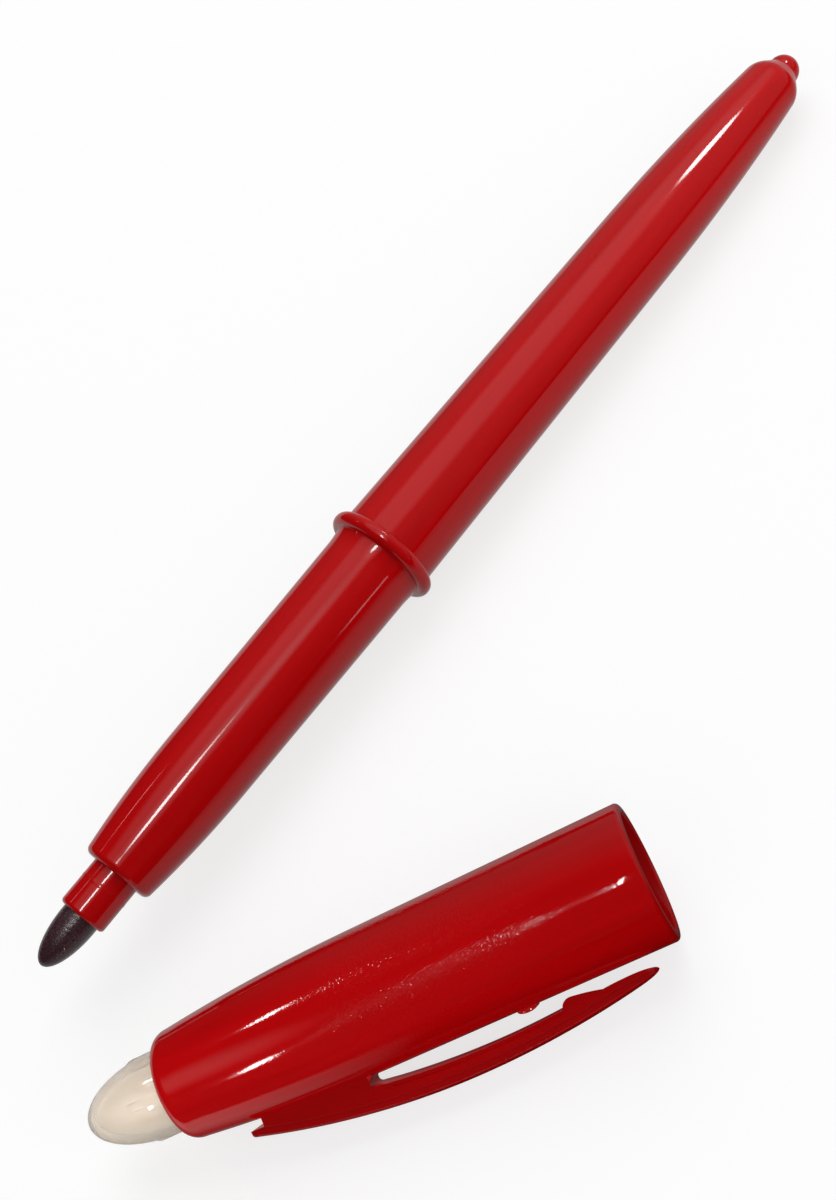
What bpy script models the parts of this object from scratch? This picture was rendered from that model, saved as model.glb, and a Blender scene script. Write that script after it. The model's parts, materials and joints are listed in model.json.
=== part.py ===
"""Double-ended permanent marker with its main cap taken off and laid beside the barrel.

Metres, +Z up, the table at Z = 0 and the origin at the bottom centre of the whole. The barrel's
pieces are turned about their own X axis, with the origin at the middle of the ring and +X towards
the broad nib. The cap's pieces are turned about X too, with the origin at the middle of the mouth,
+X out of the mouth and the clip on +Z.
"""

from math import asin, atan2, cos, hypot, pi, radians, sin, sqrt

import bmesh
import bpy

# Fits and facets
SEAT_GAP = 0.0003            # between faces that seat on each other
SLIP_GAP = 0.0002            # between a turned piece and the bore around it
FACETS = 36                  # sides of every turned piece

# Ink reservoir and the tubes around it
RESERVOIR_RADIUS = 0.00340
RESERVOIR_REAR = 0.0495      # its rear end, behind the middle of the ring
SLEEVE_WALL = 0.00025
SLEEVE_SETBACK = 0.0006
SPIGOT_WALL = 0.0006
SPIGOT_LENGTH = 0.0095
BARREL_WALL = 0.0007         # round the spigot, just behind the ring
FRONT_SKIN = 0.0012          # wall of the front section, just ahead of the ring

# Outside of the rear barrel
RING_RISE = 0.00095
RING_WIDTH = 0.0027
BARREL_TAPER = 0.00052       # radius lost along the straight stretch
TAIL_CURVE_START = 0.0485
TAIL_TAPER = 0.00172         # radius lost along the curved stretch
TAIL_END_WALL = 0.0022
TAIL_EDGE = 0.0021
NUB_FOOT_RADIUS = 0.00195
NUB_RADIUS = 0.00160
NUB_LENGTH = 0.0030
SEAM_BEHIND = 0.0108         # mouth of the tail cap, behind the reservoir

# Outside of the front section, the part that the cap covers
FLARE_RISE = 0.00015
FLARE_LENGTH = 0.0015
FRONT_CURVE_START = 0.0300
FRONT_TAPER = 0.00028
SHOULDER_TAPER = 0.00107
FRONT_LENGTH = 0.0440        # middle of the ring to the shoulder
SHOULDER_EDGE = 0.0008
FRONT_WALL = 0.0014

# Broad point
NIB_RADIUS = 0.00202
NIB_EXPOSED = 0.0061
NIB_TAIL_RADIUS = 0.0015
NIB_TAIL_LENGTH = 0.0050
NECK_WALL = 0.00046
NECK_LENGTH = 0.0055
NECK_EDGE = 0.0004
NECK_BEAD_AT = 0.0020
NECK_BEAD_HEIGHT = 0.00006
NECK_BEAD_WIDTH = 0.0008
PLUG_LEDGE = 0.00057
PLUG_LENGTH = 0.0095
AIR_GROOVES = 4
AIR_GROOVE_WIDTH = 0.0009
AIR_GROOVE_DEPTH = 0.0004

# Fine point, under the tail cap
FINE_NIB_RADIUS = 0.0006
FINE_NIB_EXPOSED = 0.0022
FINE_NIB_POINT_LENGTH = 0.0012
FINE_NIB_POINT_RADIUS = 0.0002
FINE_NIB_TAIL = 0.0030
FINE_LIP = 0.00025
FINE_CONE_RISE = 0.0007
FINE_CONE_LENGTH = 0.0028
FINE_NECK_LENGTH = 0.0026
FINE_PLUG_LEDGE = 0.00045
FINE_FLANGE_LEDGE = 0.0007
FINE_FLANGE_LENGTH = 0.0008
TAIL_SPIGOT_WALL = 0.0009
TAIL_SPIGOT_LENGTH = 0.0065
LINER_WALL = 0.0006
LINER_FLANGE_LENGTH = 0.0007
LINER_AIR = 0.0009           # room left past the fine nib

# Cap, measured from its mouth
CAP_ROOM = 0.00041           # round the front section when the cap is on
CAP_WALL = 0.0010
CAP_TAPER = 0.00022          # radius lost along the straight stretch
CAP_CURVE_START = 0.0280
CAP_END_WALL = 0.0043
CAP_END_RIM = 0.00092
CAP_EDGE = 0.00085
LIP_EDGE = 0.00035
LIP_CHAMFER = 0.0002

# Inner cap, the translucent cup whose dome closes the cap
SHOULDER_ROOM = 0.00105      # between its mouth and the shoulder when the cap is on
NIB_ROOM = 0.00285           # between its inside and the nib when the cap is on
CUP_WALL = 0.00107
CUP_FLANGE_LENGTH = 0.0009
DOME_WALL = 0.0012
DOME_STAND = 0.0008          # straight stretch outside the cap
VENT_RIBS = 4
VENT_RIB_WIDTH = 0.0007
VENT_RIB_HEIGHT = 0.00024
VENT_RIB_LENGTH = 0.0030

# Clip, measured from the mouth and from the outside of the mouth
CLIP_APEX = 0.0205
CLIP_RISE = 0.00346          # outer edge at the apex
CLIP_TAIL_DROP = 0.0030      # from the apex to the tail
CLIP_INSET = 0.0057          # tail of the clip, in from the cap's end
CLIP_LIP = 0.0011            # tail that hangs over the web
CLIP_TIP = 0.0029
CLIP_BAR = 0.0010
CLIP_HALF_WIDTH = 0.0019
CLIP_TIP_HALF_WIDTH = 0.0013
CLIP_EDGE = 0.0005
CLIP_NOSE = 0.0012           # length of the rounding at the tip
ARM_APEX = 0.0185
ARM_SLOT = 0.00124           # room under the arm at its apex
ARM_DROP = 0.00085
TIP_THICKNESS = 0.0015
BUMP_AT = 0.0109
BUMP_GAP = 0.0003
BUMP_RISE = 0.0016
BUMP_RUN = 0.0029
WEB_LENGTH = 0.0119
WEB_HALF_WIDTH = 0.0013
SLOT_FILLET = 0.00035
PIP_AT = 0.0154
PIP_LENGTH = 0.0020
PIP_HEIGHT = 0.00042

# How the two lie on the table
BARREL_HEADING = radians(213.7)
CAP_OFFSET_X = 0.0138        # mouth of the cap from the middle of the ring
CAP_OFFSET_Y = -0.0484

# Colours as linear red, green and blue
RED = (0.40, 0.006, 0.012)
INKED_FIBRE = (0.020, 0.008, 0.012)
SOAKED_FIBRE = (0.30, 0.004, 0.010)
MILKY = (0.80, 0.77, 0.70)
CLEAR_FILM = (0.75, 0.75, 0.76)

# Radii that follow from the reservoir outwards
SPIGOT_BORE = RESERVOIR_RADIUS + SLEEVE_WALL + 2 * SLIP_GAP
SPIGOT_RADIUS = SPIGOT_BORE + SPIGOT_WALL
SOCKET_RADIUS = SPIGOT_RADIUS + SLIP_GAP
BARREL_RADIUS = SOCKET_RADIUS + BARREL_WALL
RING_RADIUS = BARREL_RADIUS + RING_RISE
FRONT_RADIUS = SPIGOT_BORE + FRONT_SKIN
CAP_BORE = FRONT_RADIUS + CAP_ROOM
CAP_RADIUS = CAP_BORE + CAP_WALL

# Radii that follow from the broad nib outwards
NIB_BORE = NIB_RADIUS + SLIP_GAP
NECK_RADIUS = NIB_BORE + NECK_WALL
NECK_HOLE = NECK_RADIUS + SLIP_GAP
PLUG_RADIUS = NECK_RADIUS + PLUG_LEDGE
PLUG_POCKET = PLUG_RADIUS + SLIP_GAP
CUP_BORE = NECK_RADIUS + SLIP_GAP
DOME_RADIUS = CUP_BORE + CUP_WALL
DOME_HOLE = DOME_RADIUS + SLIP_GAP

# Radii that follow from the fine nib outwards
FINE_NIB_BORE = FINE_NIB_RADIUS + SLIP_GAP
FINE_CONE_RADIUS = FINE_NIB_BORE + FINE_LIP
FINE_NECK_RADIUS = FINE_CONE_RADIUS + FINE_CONE_RISE
FINE_PLUG_RADIUS = FINE_NECK_RADIUS + FINE_PLUG_LEDGE
FINE_FLANGE_RADIUS = FINE_PLUG_RADIUS + FINE_FLANGE_LEDGE
FINE_BORE = FINE_PLUG_RADIUS + SLIP_GAP
TAIL_SPIGOT_RADIUS = FINE_BORE + TAIL_SPIGOT_WALL
TAIL_BORE = TAIL_SPIGOT_RADIUS + SLIP_GAP
LINER_BORE = FINE_NECK_RADIUS + SLIP_GAP
LINER_RADIUS = LINER_BORE + LINER_WALL
LINER_POCKET = LINER_RADIUS + SLIP_GAP

# Places ahead of the ring
RING_SIDE = RING_WIDTH / 2
PLUG_FRONT = FRONT_LENGTH - FRONT_WALL - SEAT_GAP
PLUG_REAR = PLUG_FRONT - PLUG_LENGTH
RESERVOIR_FRONT = PLUG_REAR - SEAT_GAP
NECK_END = FRONT_LENGTH + NECK_LENGTH
NIB_TIP = NECK_END + NIB_EXPOSED

# Places behind the ring
SPIGOT_END = RING_SIDE + SPIGOT_LENGTH
RESERVOIR_STOP = RESERVOIR_REAR + SEAT_GAP
SEAM = RESERVOIR_REAR + SEAM_BEHIND
TAIL_SPIGOT_END = SEAM + TAIL_SPIGOT_LENGTH
FINE_FLANGE_START = TAIL_SPIGOT_END + SEAT_GAP
FINE_FLANGE_END = FINE_FLANGE_START + FINE_FLANGE_LENGTH
FINE_NECK_END = FINE_FLANGE_END + FINE_NECK_LENGTH
FINE_CONE_END = FINE_NECK_END + FINE_CONE_LENGTH
FINE_NIB_TIP = FINE_CONE_END + FINE_NIB_EXPOSED
LINER_START = FINE_FLANGE_END + SEAT_GAP
LINER_FLANGE_END = LINER_START + LINER_FLANGE_LENGTH
LINER_BORE_END = FINE_NIB_TIP + LINER_AIR
LINER_END = LINER_BORE_END + LINER_WALL
TAIL_LENGTH = LINER_END + SEAT_GAP + TAIL_END_WALL

# Places in from the cap's mouth, which stops at the ring when the cap is on
CUP_MOUTH = FRONT_LENGTH - RING_SIDE + SHOULDER_ROOM
CUP_FLANGE_END = CUP_MOUTH + CUP_FLANGE_LENGTH
CAP_STEP = CUP_FLANGE_END + SEAT_GAP
CAP_LENGTH = CAP_STEP + CAP_END_WALL
DOME_START = CAP_LENGTH + DOME_STAND
DOME_BORE_END = NIB_TIP - RING_SIDE + NIB_ROOM
DOME_END = DOME_BORE_END + DOME_WALL
CLIP_TAIL = CAP_LENGTH - CLIP_INSET
WEB_REAR = CLIP_TAIL - CLIP_LIP
WEB_FRONT = WEB_REAR - WEB_LENGTH


def tapered(at, start, start_radius, bend, bend_radius, end, end_radius):
    """Radius of a straight taper from start to bend that curves in to end_radius at end."""
    slope = (start_radius - bend_radius) / (bend - start)
    if at <= bend:
        return start_radius - slope * (at - start)
    curve = (bend_radius - end_radius - slope * (end - bend)) / (end - bend) ** 2
    return bend_radius - slope * (at - bend) - curve * (at - bend) ** 2


def barrel_radius(behind):
    """Outside radius of the rear barrel and the tail cap at a distance behind the ring."""
    bend_radius = BARREL_RADIUS - BARREL_TAPER
    return tapered(behind, RING_SIDE, BARREL_RADIUS, TAIL_CURVE_START, bend_radius,
                   TAIL_LENGTH, bend_radius - TAIL_TAPER)


def front_radius(ahead):
    """Outside radius of the front section at a distance ahead of the ring."""
    bend_radius = FRONT_RADIUS - FRONT_TAPER
    return tapered(ahead, RING_SIDE, FRONT_RADIUS, FRONT_CURVE_START, bend_radius,
                   FRONT_LENGTH, bend_radius - SHOULDER_TAPER)


def cap_radius(inward):
    """Outside radius of the cap at a distance in from its mouth."""
    return tapered(inward, 0.0, CAP_RADIUS, CAP_CURVE_START, CAP_RADIUS - CAP_TAPER,
                   CAP_LENGTH, DOME_HOLE + CAP_END_RIM)


def bowed(at, apex, apex_radius, end, drop):
    """Radius of an arc that is highest at its apex and has dropped by a given amount at end."""
    bow = ((end - apex) ** 2 + drop ** 2) / (2 * drop)
    return apex_radius - bow + sqrt(bow ** 2 - (at - apex) ** 2)


def clip_outer(inward):
    """Outer edge of the clip."""
    return bowed(inward, CLIP_APEX, CAP_RADIUS + CLIP_RISE, CLIP_TAIL, CLIP_TAIL_DROP)


def clip_seat(inward):
    """Underside of the clip's bar, where it lies on the web."""
    return clip_outer(inward) - CLIP_BAR


def clip_inner(inward):
    """Inner edge of the clip's arm: bowed, with a bump that nearly meets the cap, then the tip."""
    if inward > BUMP_AT:
        edge = bowed(inward, ARM_APEX, CAP_RADIUS + ARM_SLOT, WEB_FRONT, ARM_DROP)
        reach = BUMP_RISE
    else:
        edge = clip_outer(inward) - TIP_THICKNESS
        reach = BUMP_RUN
    away = min(abs(inward - BUMP_AT) / reach, 1.0)
    peak = cap_radius(BUMP_AT) + BUMP_GAP
    return edge + (peak - edge) * cos(away * pi / 2) ** 2


def clip_half_width(inward):
    """Half the width of the clip's bar: even over the web, narrowing to the tip."""
    free = min(max((WEB_FRONT - inward) / (WEB_FRONT - CLIP_TIP), 0.0), 1.0)
    return CLIP_HALF_WIDTH + (CLIP_TIP_HALF_WIDTH - CLIP_HALF_WIDTH) * free ** 2


def spread(start, end, steps):
    """Evenly spaced values from start to end, both included."""
    return [start + (end - start) * i / steps for i in range(steps + 1)]


def arc(centre_x, centre_r, half_x, half_r, start, end, steps):
    """Points of an elliptical arc, with angles in degrees from +X towards +R."""
    return [(centre_x + half_x * cos(radians(angle)), centre_r + half_r * sin(radians(angle)))
            for angle in spread(start, end, steps)]


def new_object(name, parent, colour, roughness):
    """A mesh object with its own material, hung on its parent."""
    material = bpy.data.materials.new(name)
    material.use_nodes = True
    shader = material.node_tree.nodes["Principled BSDF"]
    shader.inputs["Base Color"].default_value = (*colour, 1.0)
    shader.inputs["Roughness"].default_value = roughness
    shader.inputs["Metallic"].default_value = 0.0
    mesh = bpy.data.meshes.new(name)
    mesh.materials.append(material)
    obj = bpy.data.objects.new(name, mesh)
    obj.parent = parent
    bpy.context.collection.objects.link(obj)
    return obj


def new_tool(name, parent):
    """A hidden solid that joins or cuts another."""
    obj = new_object(name, parent, RED, 0.5)
    obj.hide_render = True
    obj.display_type = 'WIRE'
    return obj


def new_empty(name, parent=None):
    obj = bpy.data.objects.new(name, None)
    obj.parent = parent
    bpy.context.collection.objects.link(obj)
    return obj


def set_mesh(obj, bm):
    """Merge the seams, point the faces out and shade the object smooth between sharp edges."""
    bmesh.ops.remove_doubles(bm, verts=bm.verts, dist=1e-7)
    bmesh.ops.recalc_face_normals(bm, faces=bm.faces)
    bm.to_mesh(obj.data)
    bm.free()
    obj.data.shade_smooth()
    obj.data.set_sharp_from_angle(angle=radians(35))
    return obj


def turn(obj, outline, closed):
    """Spin an outline of (x, radius) points about X; a closed one makes a tube."""
    bm = bmesh.new()
    verts = [bm.verts.new((x, 0.0, max(r, 0.0))) for x, r in outline]
    pairs = list(zip(verts, verts[1:]))
    if closed:
        pairs.append((verts[-1], verts[0]))
    edges = [bm.edges.new(pair) for pair in pairs]
    bmesh.ops.spin(bm, geom=verts + edges, cent=(0, 0, 0), axis=(1, 0, 0), angle=2 * pi,
                   steps=FACETS, use_merge=True)
    return set_mesh(obj, bm)


def plate(obj, outline, half_width):
    """Extrude an outline of (x, radius) points evenly to both sides of the clip's plane."""
    bm = bmesh.new()
    face = bm.faces.new([bm.verts.new((x, -half_width, r)) for x, r in outline])
    grown = bmesh.ops.extrude_face_region(bm, geom=[face])["geom"]
    moved = [item for item in grown if isinstance(item, bmesh.types.BMVert)]
    bmesh.ops.translate(bm, verts=moved, vec=(0, 2 * half_width, 0))
    return set_mesh(obj, bm)


def loft(obj, sections):
    """Bridge closed sections in order and close both ends."""
    bm = bmesh.new()
    rows = [[bm.verts.new(point) for point in section] for section in sections]
    loops = [[bm.edges.new((a, b)) for a, b in zip(row, row[1:] + row[:1])] for row in rows]
    for near, far in zip(loops, loops[1:]):
        bmesh.ops.bridge_loops(bm, edges=near + far)
    bm.faces.new(rows[0])
    bm.faces.new(rows[-1])
    return set_mesh(obj, bm)


def blades(obj, count, start, end, inner, outer, width):
    """Flat radial blades around X."""
    bm = bmesh.new()
    for i in range(count):
        made = bmesh.ops.create_cube(bm, size=1.0)["verts"]
        bmesh.ops.scale(bm, verts=made, vec=(end - start, width, outer - inner))
        bmesh.ops.translate(bm, verts=made, vec=((start + end) / 2, 0, (inner + outer) / 2))
        angle = 2 * pi * i / count
        for vert in made:
            y, z = vert.co.y, vert.co.z
            vert.co.y = y * cos(angle) - z * sin(angle)
            vert.co.z = y * sin(angle) + z * cos(angle)
    return set_mesh(obj, bm)


def combine(obj, tool, operation):
    """Join a tool to an object, or cut the object with it."""
    modifier = obj.modifiers.new(tool.name, 'BOOLEAN')
    modifier.operation = operation
    modifier.object = tool


def front_section(parent):
    """The tube under the cap, with the ring, a spigot into the barrel and a hole for the neck."""
    edge_start = FRONT_LENGTH - SHOULDER_EDGE
    ring_foot = FRONT_RADIUS + FLARE_RISE
    outline = [(-SPIGOT_END, SPIGOT_BORE), (-SPIGOT_END, SPIGOT_RADIUS),
               (-RING_SIDE, SPIGOT_RADIUS)]
    outline += arc(0, ring_foot, RING_SIDE, RING_RADIUS - ring_foot, 180, 0, 12)
    outline += [(x, front_radius(x))
                for x in spread(RING_SIDE + FLARE_LENGTH, FRONT_CURVE_START, 2)]
    outline += [(x, front_radius(x)) for x in spread(FRONT_CURVE_START, edge_start, 5)[1:-1]]
    outline += arc(edge_start, front_radius(edge_start) - SHOULDER_EDGE,
                   SHOULDER_EDGE, SHOULDER_EDGE, 90, 0, 4)
    outline += [(FRONT_LENGTH, NECK_HOLE), (FRONT_LENGTH - FRONT_WALL, NECK_HOLE),
                (FRONT_LENGTH - FRONT_WALL, PLUG_POCKET), (PLUG_REAR, PLUG_POCKET),
                (PLUG_REAR, SPIGOT_BORE)]
    return turn(new_object("front_section", parent, RED, 0.18), outline, closed=True)


def barrel(parent):
    """The rear tube: a socket at the ring, a step behind the reservoir and a spigot at the seam."""
    front = RING_SIDE + SEAT_GAP
    socket_end = SPIGOT_END + SEAT_GAP
    outline = [(-front, SOCKET_RADIUS), (-socket_end, SOCKET_RADIUS), (-socket_end, SPIGOT_BORE),
               (-RESERVOIR_STOP, SPIGOT_BORE), (-RESERVOIR_STOP, FINE_BORE),
               (-TAIL_SPIGOT_END, FINE_BORE), (-TAIL_SPIGOT_END, TAIL_SPIGOT_RADIUS),
               (-SEAM, TAIL_SPIGOT_RADIUS)]
    outline += [(-b, barrel_radius(b)) for b in spread(SEAM, TAIL_CURVE_START, 3)]
    outline += [(-b, barrel_radius(b)) for b in spread(TAIL_CURVE_START, front, 3)[1:]]
    return turn(new_object("barrel", parent, RED, 0.18), outline, closed=True)


def broad_nib_holder(parent):
    """The plug inside the front section, with air grooves, and the neck that stands out of it."""
    bead = FRONT_LENGTH + NECK_BEAD_AT
    outline = [(PLUG_REAR, NIB_BORE), (PLUG_REAR, PLUG_RADIUS), (PLUG_FRONT, PLUG_RADIUS),
               (PLUG_FRONT, NECK_RADIUS), (bead - NECK_BEAD_WIDTH / 2, NECK_RADIUS),
               (bead, NECK_RADIUS + NECK_BEAD_HEIGHT), (bead + NECK_BEAD_WIDTH / 2, NECK_RADIUS)]
    outline += arc(NECK_END - NECK_EDGE, NECK_RADIUS - NECK_EDGE, NECK_EDGE, NECK_EDGE, 90, 0, 3)
    outline += [(NECK_END, NIB_BORE)]
    holder = turn(new_object("broad_nib_holder", parent, RED, 0.2), outline, closed=True)
    grooves = blades(new_tool("air_grooves", parent), AIR_GROOVES, PLUG_REAR - FRONT_WALL,
                     PLUG_FRONT + FRONT_WALL, PLUG_RADIUS - AIR_GROOVE_DEPTH,
                     PLUG_RADIUS + AIR_GROOVE_DEPTH, AIR_GROOVE_WIDTH)
    combine(holder, grooves, 'DIFFERENCE')
    return holder


def broad_nib(parent):
    """Bullet nib of bonded fibre, with a thinner tail that dips into the reservoir."""
    tail_end = RESERVOIR_FRONT - NIB_TAIL_LENGTH
    step = PLUG_REAR + SEAT_GAP
    outline = [(tail_end, 0.0), (tail_end, NIB_TAIL_RADIUS), (step, NIB_TAIL_RADIUS),
               (step + NIB_RADIUS - NIB_TAIL_RADIUS, NIB_RADIUS)]
    outline += arc(NECK_END, 0, NIB_EXPOSED, NIB_RADIUS, 90, 0, 10)
    return turn(new_object("broad_nib", parent, INKED_FIBRE, 0.6), outline, closed=False)


def ink_reservoir(parent):
    """Fibre rod that holds the ink, with a socket at each end for a nib."""
    front_socket = RESERVOIR_FRONT - NIB_TAIL_LENGTH - SEAT_GAP
    front_socket_radius = NIB_TAIL_RADIUS + SLIP_GAP
    rear_socket = RESERVOIR_REAR - FINE_NIB_TAIL - SEAT_GAP
    outline = [(front_socket, 0.0), (front_socket, front_socket_radius),
               (RESERVOIR_FRONT, front_socket_radius), (RESERVOIR_FRONT, RESERVOIR_RADIUS),
               (-RESERVOIR_REAR, RESERVOIR_RADIUS), (-RESERVOIR_REAR, FINE_NIB_BORE),
               (-rear_socket, FINE_NIB_BORE), (-rear_socket, 0.0)]
    return turn(new_object("ink_reservoir", parent, SOAKED_FIBRE, 0.9), outline, closed=False)


def reservoir_sleeve(parent):
    """Film tube wrapped round the reservoir."""
    inside = RESERVOIR_RADIUS + SLIP_GAP
    outside = inside + SLEEVE_WALL
    front = RESERVOIR_FRONT - SLEEVE_SETBACK
    rear = SLEEVE_SETBACK - RESERVOIR_REAR
    outline = [(front, inside), (front, outside), (rear, outside), (rear, inside)]
    return turn(new_object("reservoir_sleeve", parent, CLEAR_FILM, 0.3), outline, closed=True)


def fine_nib_holder(parent):
    """Plug in the barrel's rear end, with a flange on the spigot and a tapered neck."""
    plug_end = RESERVOIR_STOP + SEAT_GAP
    outline = [(-plug_end, FINE_NIB_BORE), (-plug_end, FINE_PLUG_RADIUS),
               (-FINE_FLANGE_START, FINE_PLUG_RADIUS), (-FINE_FLANGE_START, FINE_FLANGE_RADIUS),
               (-FINE_FLANGE_END, FINE_FLANGE_RADIUS), (-FINE_FLANGE_END, FINE_NECK_RADIUS),
               (-FINE_NECK_END, FINE_NECK_RADIUS), (-FINE_CONE_END, FINE_CONE_RADIUS),
               (-FINE_CONE_END, FINE_NIB_BORE)]
    return turn(new_object("fine_nib_holder", parent, RED, 0.25), outline, closed=True)


def fine_nib(parent):
    """Slim fibre nib that runs from the reservoir's rear socket to its point."""
    tail_end = RESERVOIR_REAR - FINE_NIB_TAIL
    outline = [(-tail_end, 0.0), (-tail_end, FINE_NIB_RADIUS),
               (-(FINE_NIB_TIP - FINE_NIB_POINT_LENGTH), FINE_NIB_RADIUS)]
    outline += arc(-(FINE_NIB_TIP - FINE_NIB_POINT_RADIUS), 0, FINE_NIB_POINT_RADIUS,
                   FINE_NIB_POINT_RADIUS, 90, 180, 3)
    return turn(new_object("fine_nib", parent, INKED_FIBRE, 0.6), outline, closed=False)


def tail_cap(parent):
    """Tapered pull-off cap of the fine point, ending in a small round nub."""
    mouth = SEAM + SEAT_GAP
    step = LINER_FLANGE_END + SEAT_GAP
    bore_end = LINER_END + SEAT_GAP
    edge_start = TAIL_LENGTH - TAIL_EDGE
    outline = [(-bore_end, 0.0), (-bore_end, LINER_POCKET), (-step, LINER_POCKET),
               (-step, TAIL_BORE), (-mouth, TAIL_BORE)]
    outline += [(-b, barrel_radius(b)) for b in spread(mouth, edge_start, 5)[:-1]]
    outline += arc(-edge_start, barrel_radius(edge_start) - TAIL_EDGE, TAIL_EDGE, TAIL_EDGE,
                   90, 150, 4)
    outline += [(-TAIL_LENGTH, NUB_FOOT_RADIUS)]
    outline += arc(-(TAIL_LENGTH + NUB_LENGTH - NUB_RADIUS), 0, NUB_RADIUS, NUB_RADIUS,
                   90, 180, 5)
    return turn(new_object("tail_cap", parent, RED, 0.18), outline, closed=False)


def tail_cap_liner(parent):
    """Soft cup inside the tail cap that seals the fine point."""
    flange = TAIL_BORE - SLIP_GAP
    outline = [(-LINER_BORE_END, 0.0), (-LINER_BORE_END, LINER_BORE), (-LINER_START, LINER_BORE),
               (-LINER_START, flange), (-LINER_FLANGE_END, flange),
               (-LINER_FLANGE_END, LINER_RADIUS), (-LINER_END, LINER_RADIUS), (-LINER_END, 0.0)]
    return turn(new_object("tail_cap_liner", parent, MILKY, 0.3), outline, closed=False)


def cap_shell(parent):
    """Moulded cap: a tapered tube with a hole for the dome, a web for the clip and a pip."""
    edge_start = CAP_LENGTH - CAP_EDGE
    outline = arc(-LIP_EDGE, CAP_RADIUS - LIP_EDGE, LIP_EDGE, LIP_EDGE, 0, 90, 3)
    outline += [(-u, cap_radius(u)) for u in spread(CAP_CURVE_START / 2, CAP_CURVE_START, 1)]
    outline += [(-u, cap_radius(u)) for u in spread(CAP_CURVE_START, edge_start, 6)[1:-1]]
    outline += arc(-edge_start, cap_radius(edge_start) - CAP_EDGE, CAP_EDGE, CAP_EDGE, 90, 180, 4)
    outline += [(-CAP_LENGTH, DOME_HOLE), (-CAP_STEP, DOME_HOLE)]
    outline += [(-u, cap_radius(u) - CAP_WALL) for u in spread(CAP_STEP, CAP_CURVE_START, 3)]
    outline += [(-LIP_CHAMFER, CAP_BORE), (0.0, CAP_BORE + LIP_CHAMFER)]
    shell = turn(new_object("cap_shell", parent, RED, 0.15), outline, closed=True)
    combine(shell, clip_web(parent), 'UNION')
    combine(shell, pip(parent), 'UNION')
    return shell


def clip_web(parent):
    """Stand-off between cap and clip, with a fillet at the closed end of the slot."""
    foot = [(-u, cap_radius(u) - CAP_WALL / 2)
            for u in spread(WEB_REAR, WEB_FRONT - SLOT_FILLET, 4)]
    fillet = arc(-(WEB_FRONT - SLOT_FILLET), cap_radius(WEB_FRONT) + SLOT_FILLET,
                 SLOT_FILLET, SLOT_FILLET, 270, 180, 4)
    top = [(-u, clip_seat(u) - SEAT_GAP) for u in spread(WEB_FRONT, WEB_REAR, 5)]
    return plate(new_tool("clip_web", parent), foot + fillet + top, WEB_HALF_WIDTH)


def pip(parent):
    """Small round tooth on the cap, under the clip's arm."""
    sunk = cap_radius(PIP_AT) - CAP_WALL / 2
    half = PIP_LENGTH / 2
    outline = [(-PIP_AT + half, sunk)]
    outline += arc(-PIP_AT, cap_radius(PIP_AT), half, PIP_HEIGHT, 0, 180, 8)
    outline += [(-PIP_AT - half, sunk)]
    return plate(new_tool("pip", parent), outline, WEB_HALF_WIDTH)


def inner_cap(parent):
    """Translucent cup that seals the broad point; its dome stands out of the cap's end."""
    flange = cap_radius(CAP_STEP) - CAP_WALL - SLIP_GAP
    outline = arc(-DOME_START, 0, DOME_BORE_END - DOME_START, CUP_BORE, 180, 90, 7)
    outline += [(-CUP_MOUTH, CUP_BORE), (-CUP_MOUTH, flange), (-CUP_FLANGE_END, flange),
                (-CUP_FLANGE_END, DOME_RADIUS)]
    outline += arc(-DOME_START, 0, DOME_END - DOME_START, DOME_RADIUS, 90, 180, 9)
    cup = turn(new_object("inner_cap", parent, MILKY, 0.12), outline, closed=False)
    rib_start = CAP_LENGTH + SEAT_GAP
    ribs = blades(new_tool("vent_ribs", parent), VENT_RIBS, -rib_start - VENT_RIB_LENGTH,
                  -rib_start, DOME_RADIUS - CUP_WALL / 2, DOME_RADIUS + VENT_RIB_HEIGHT,
                  VENT_RIB_WIDTH)
    combine(cup, ribs, 'UNION')
    return cup


def bar_section(inward, thickness, half_width):
    """Section across the clip's bar: flat below, with round upper edges."""
    top = clip_outer(inward) - (CLIP_BAR - thickness) / 2
    edge = min(CLIP_EDGE, thickness / 2, half_width / 2)
    right = arc(half_width - edge, top - edge, edge, edge, 0, 90, 3)
    left = arc(edge - half_width, top - edge, edge, edge, 90, 180, 3)
    across = [(half_width, top - thickness)] + right + left + [(-half_width, top - thickness)]
    return [(-inward, y, r) for y, r in across]


def clip(parent):
    """Bowed clip: a bar from the tail to the tip, with a narrower rib and a bump under its arm."""
    nose = CLIP_TIP + CLIP_NOSE
    sections = [bar_section(u, CLIP_BAR, clip_half_width(u)) for u in spread(CLIP_TAIL, nose, 14)]
    for angle in (30, 55, 75):
        u = nose - CLIP_NOSE * sin(radians(angle))
        share = cos(radians(angle))
        sections.append(bar_section(u, CLIP_BAR * share, clip_half_width(u) * (1 + share) / 2))
    bar = loft(new_object("clip", parent, RED, 0.15), sections)
    combine(bar, clip_rib(parent), 'UNION')
    return bar


def clip_rib(parent):
    """Stiffening rib under the clip's free arm, which carries the bump."""
    rear = WEB_FRONT - SEAT_GAP
    nose = CLIP_TIP + CLIP_NOSE
    outline = [(-u, clip_inner(u)) for u in spread(rear, BUMP_AT + BUMP_RISE, 8)]
    outline += [(-u, clip_inner(u)) for u in spread(BUMP_AT + BUMP_RISE, BUMP_AT, 5)[1:]]
    outline += [(-u, clip_inner(u)) for u in spread(BUMP_AT, BUMP_AT - BUMP_RUN, 5)[1:]]
    outline += [(-u, clip_inner(u)) for u in spread(BUMP_AT - BUMP_RUN, nose + CLIP_NOSE, 2)[1:]]
    outline += [(-u, clip_seat(u) + CLIP_BAR / 2) for u in spread(nose, rear, 10)]
    return plate(new_tool("clip_rib", parent), outline, WEB_HALF_WIDTH)


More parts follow.
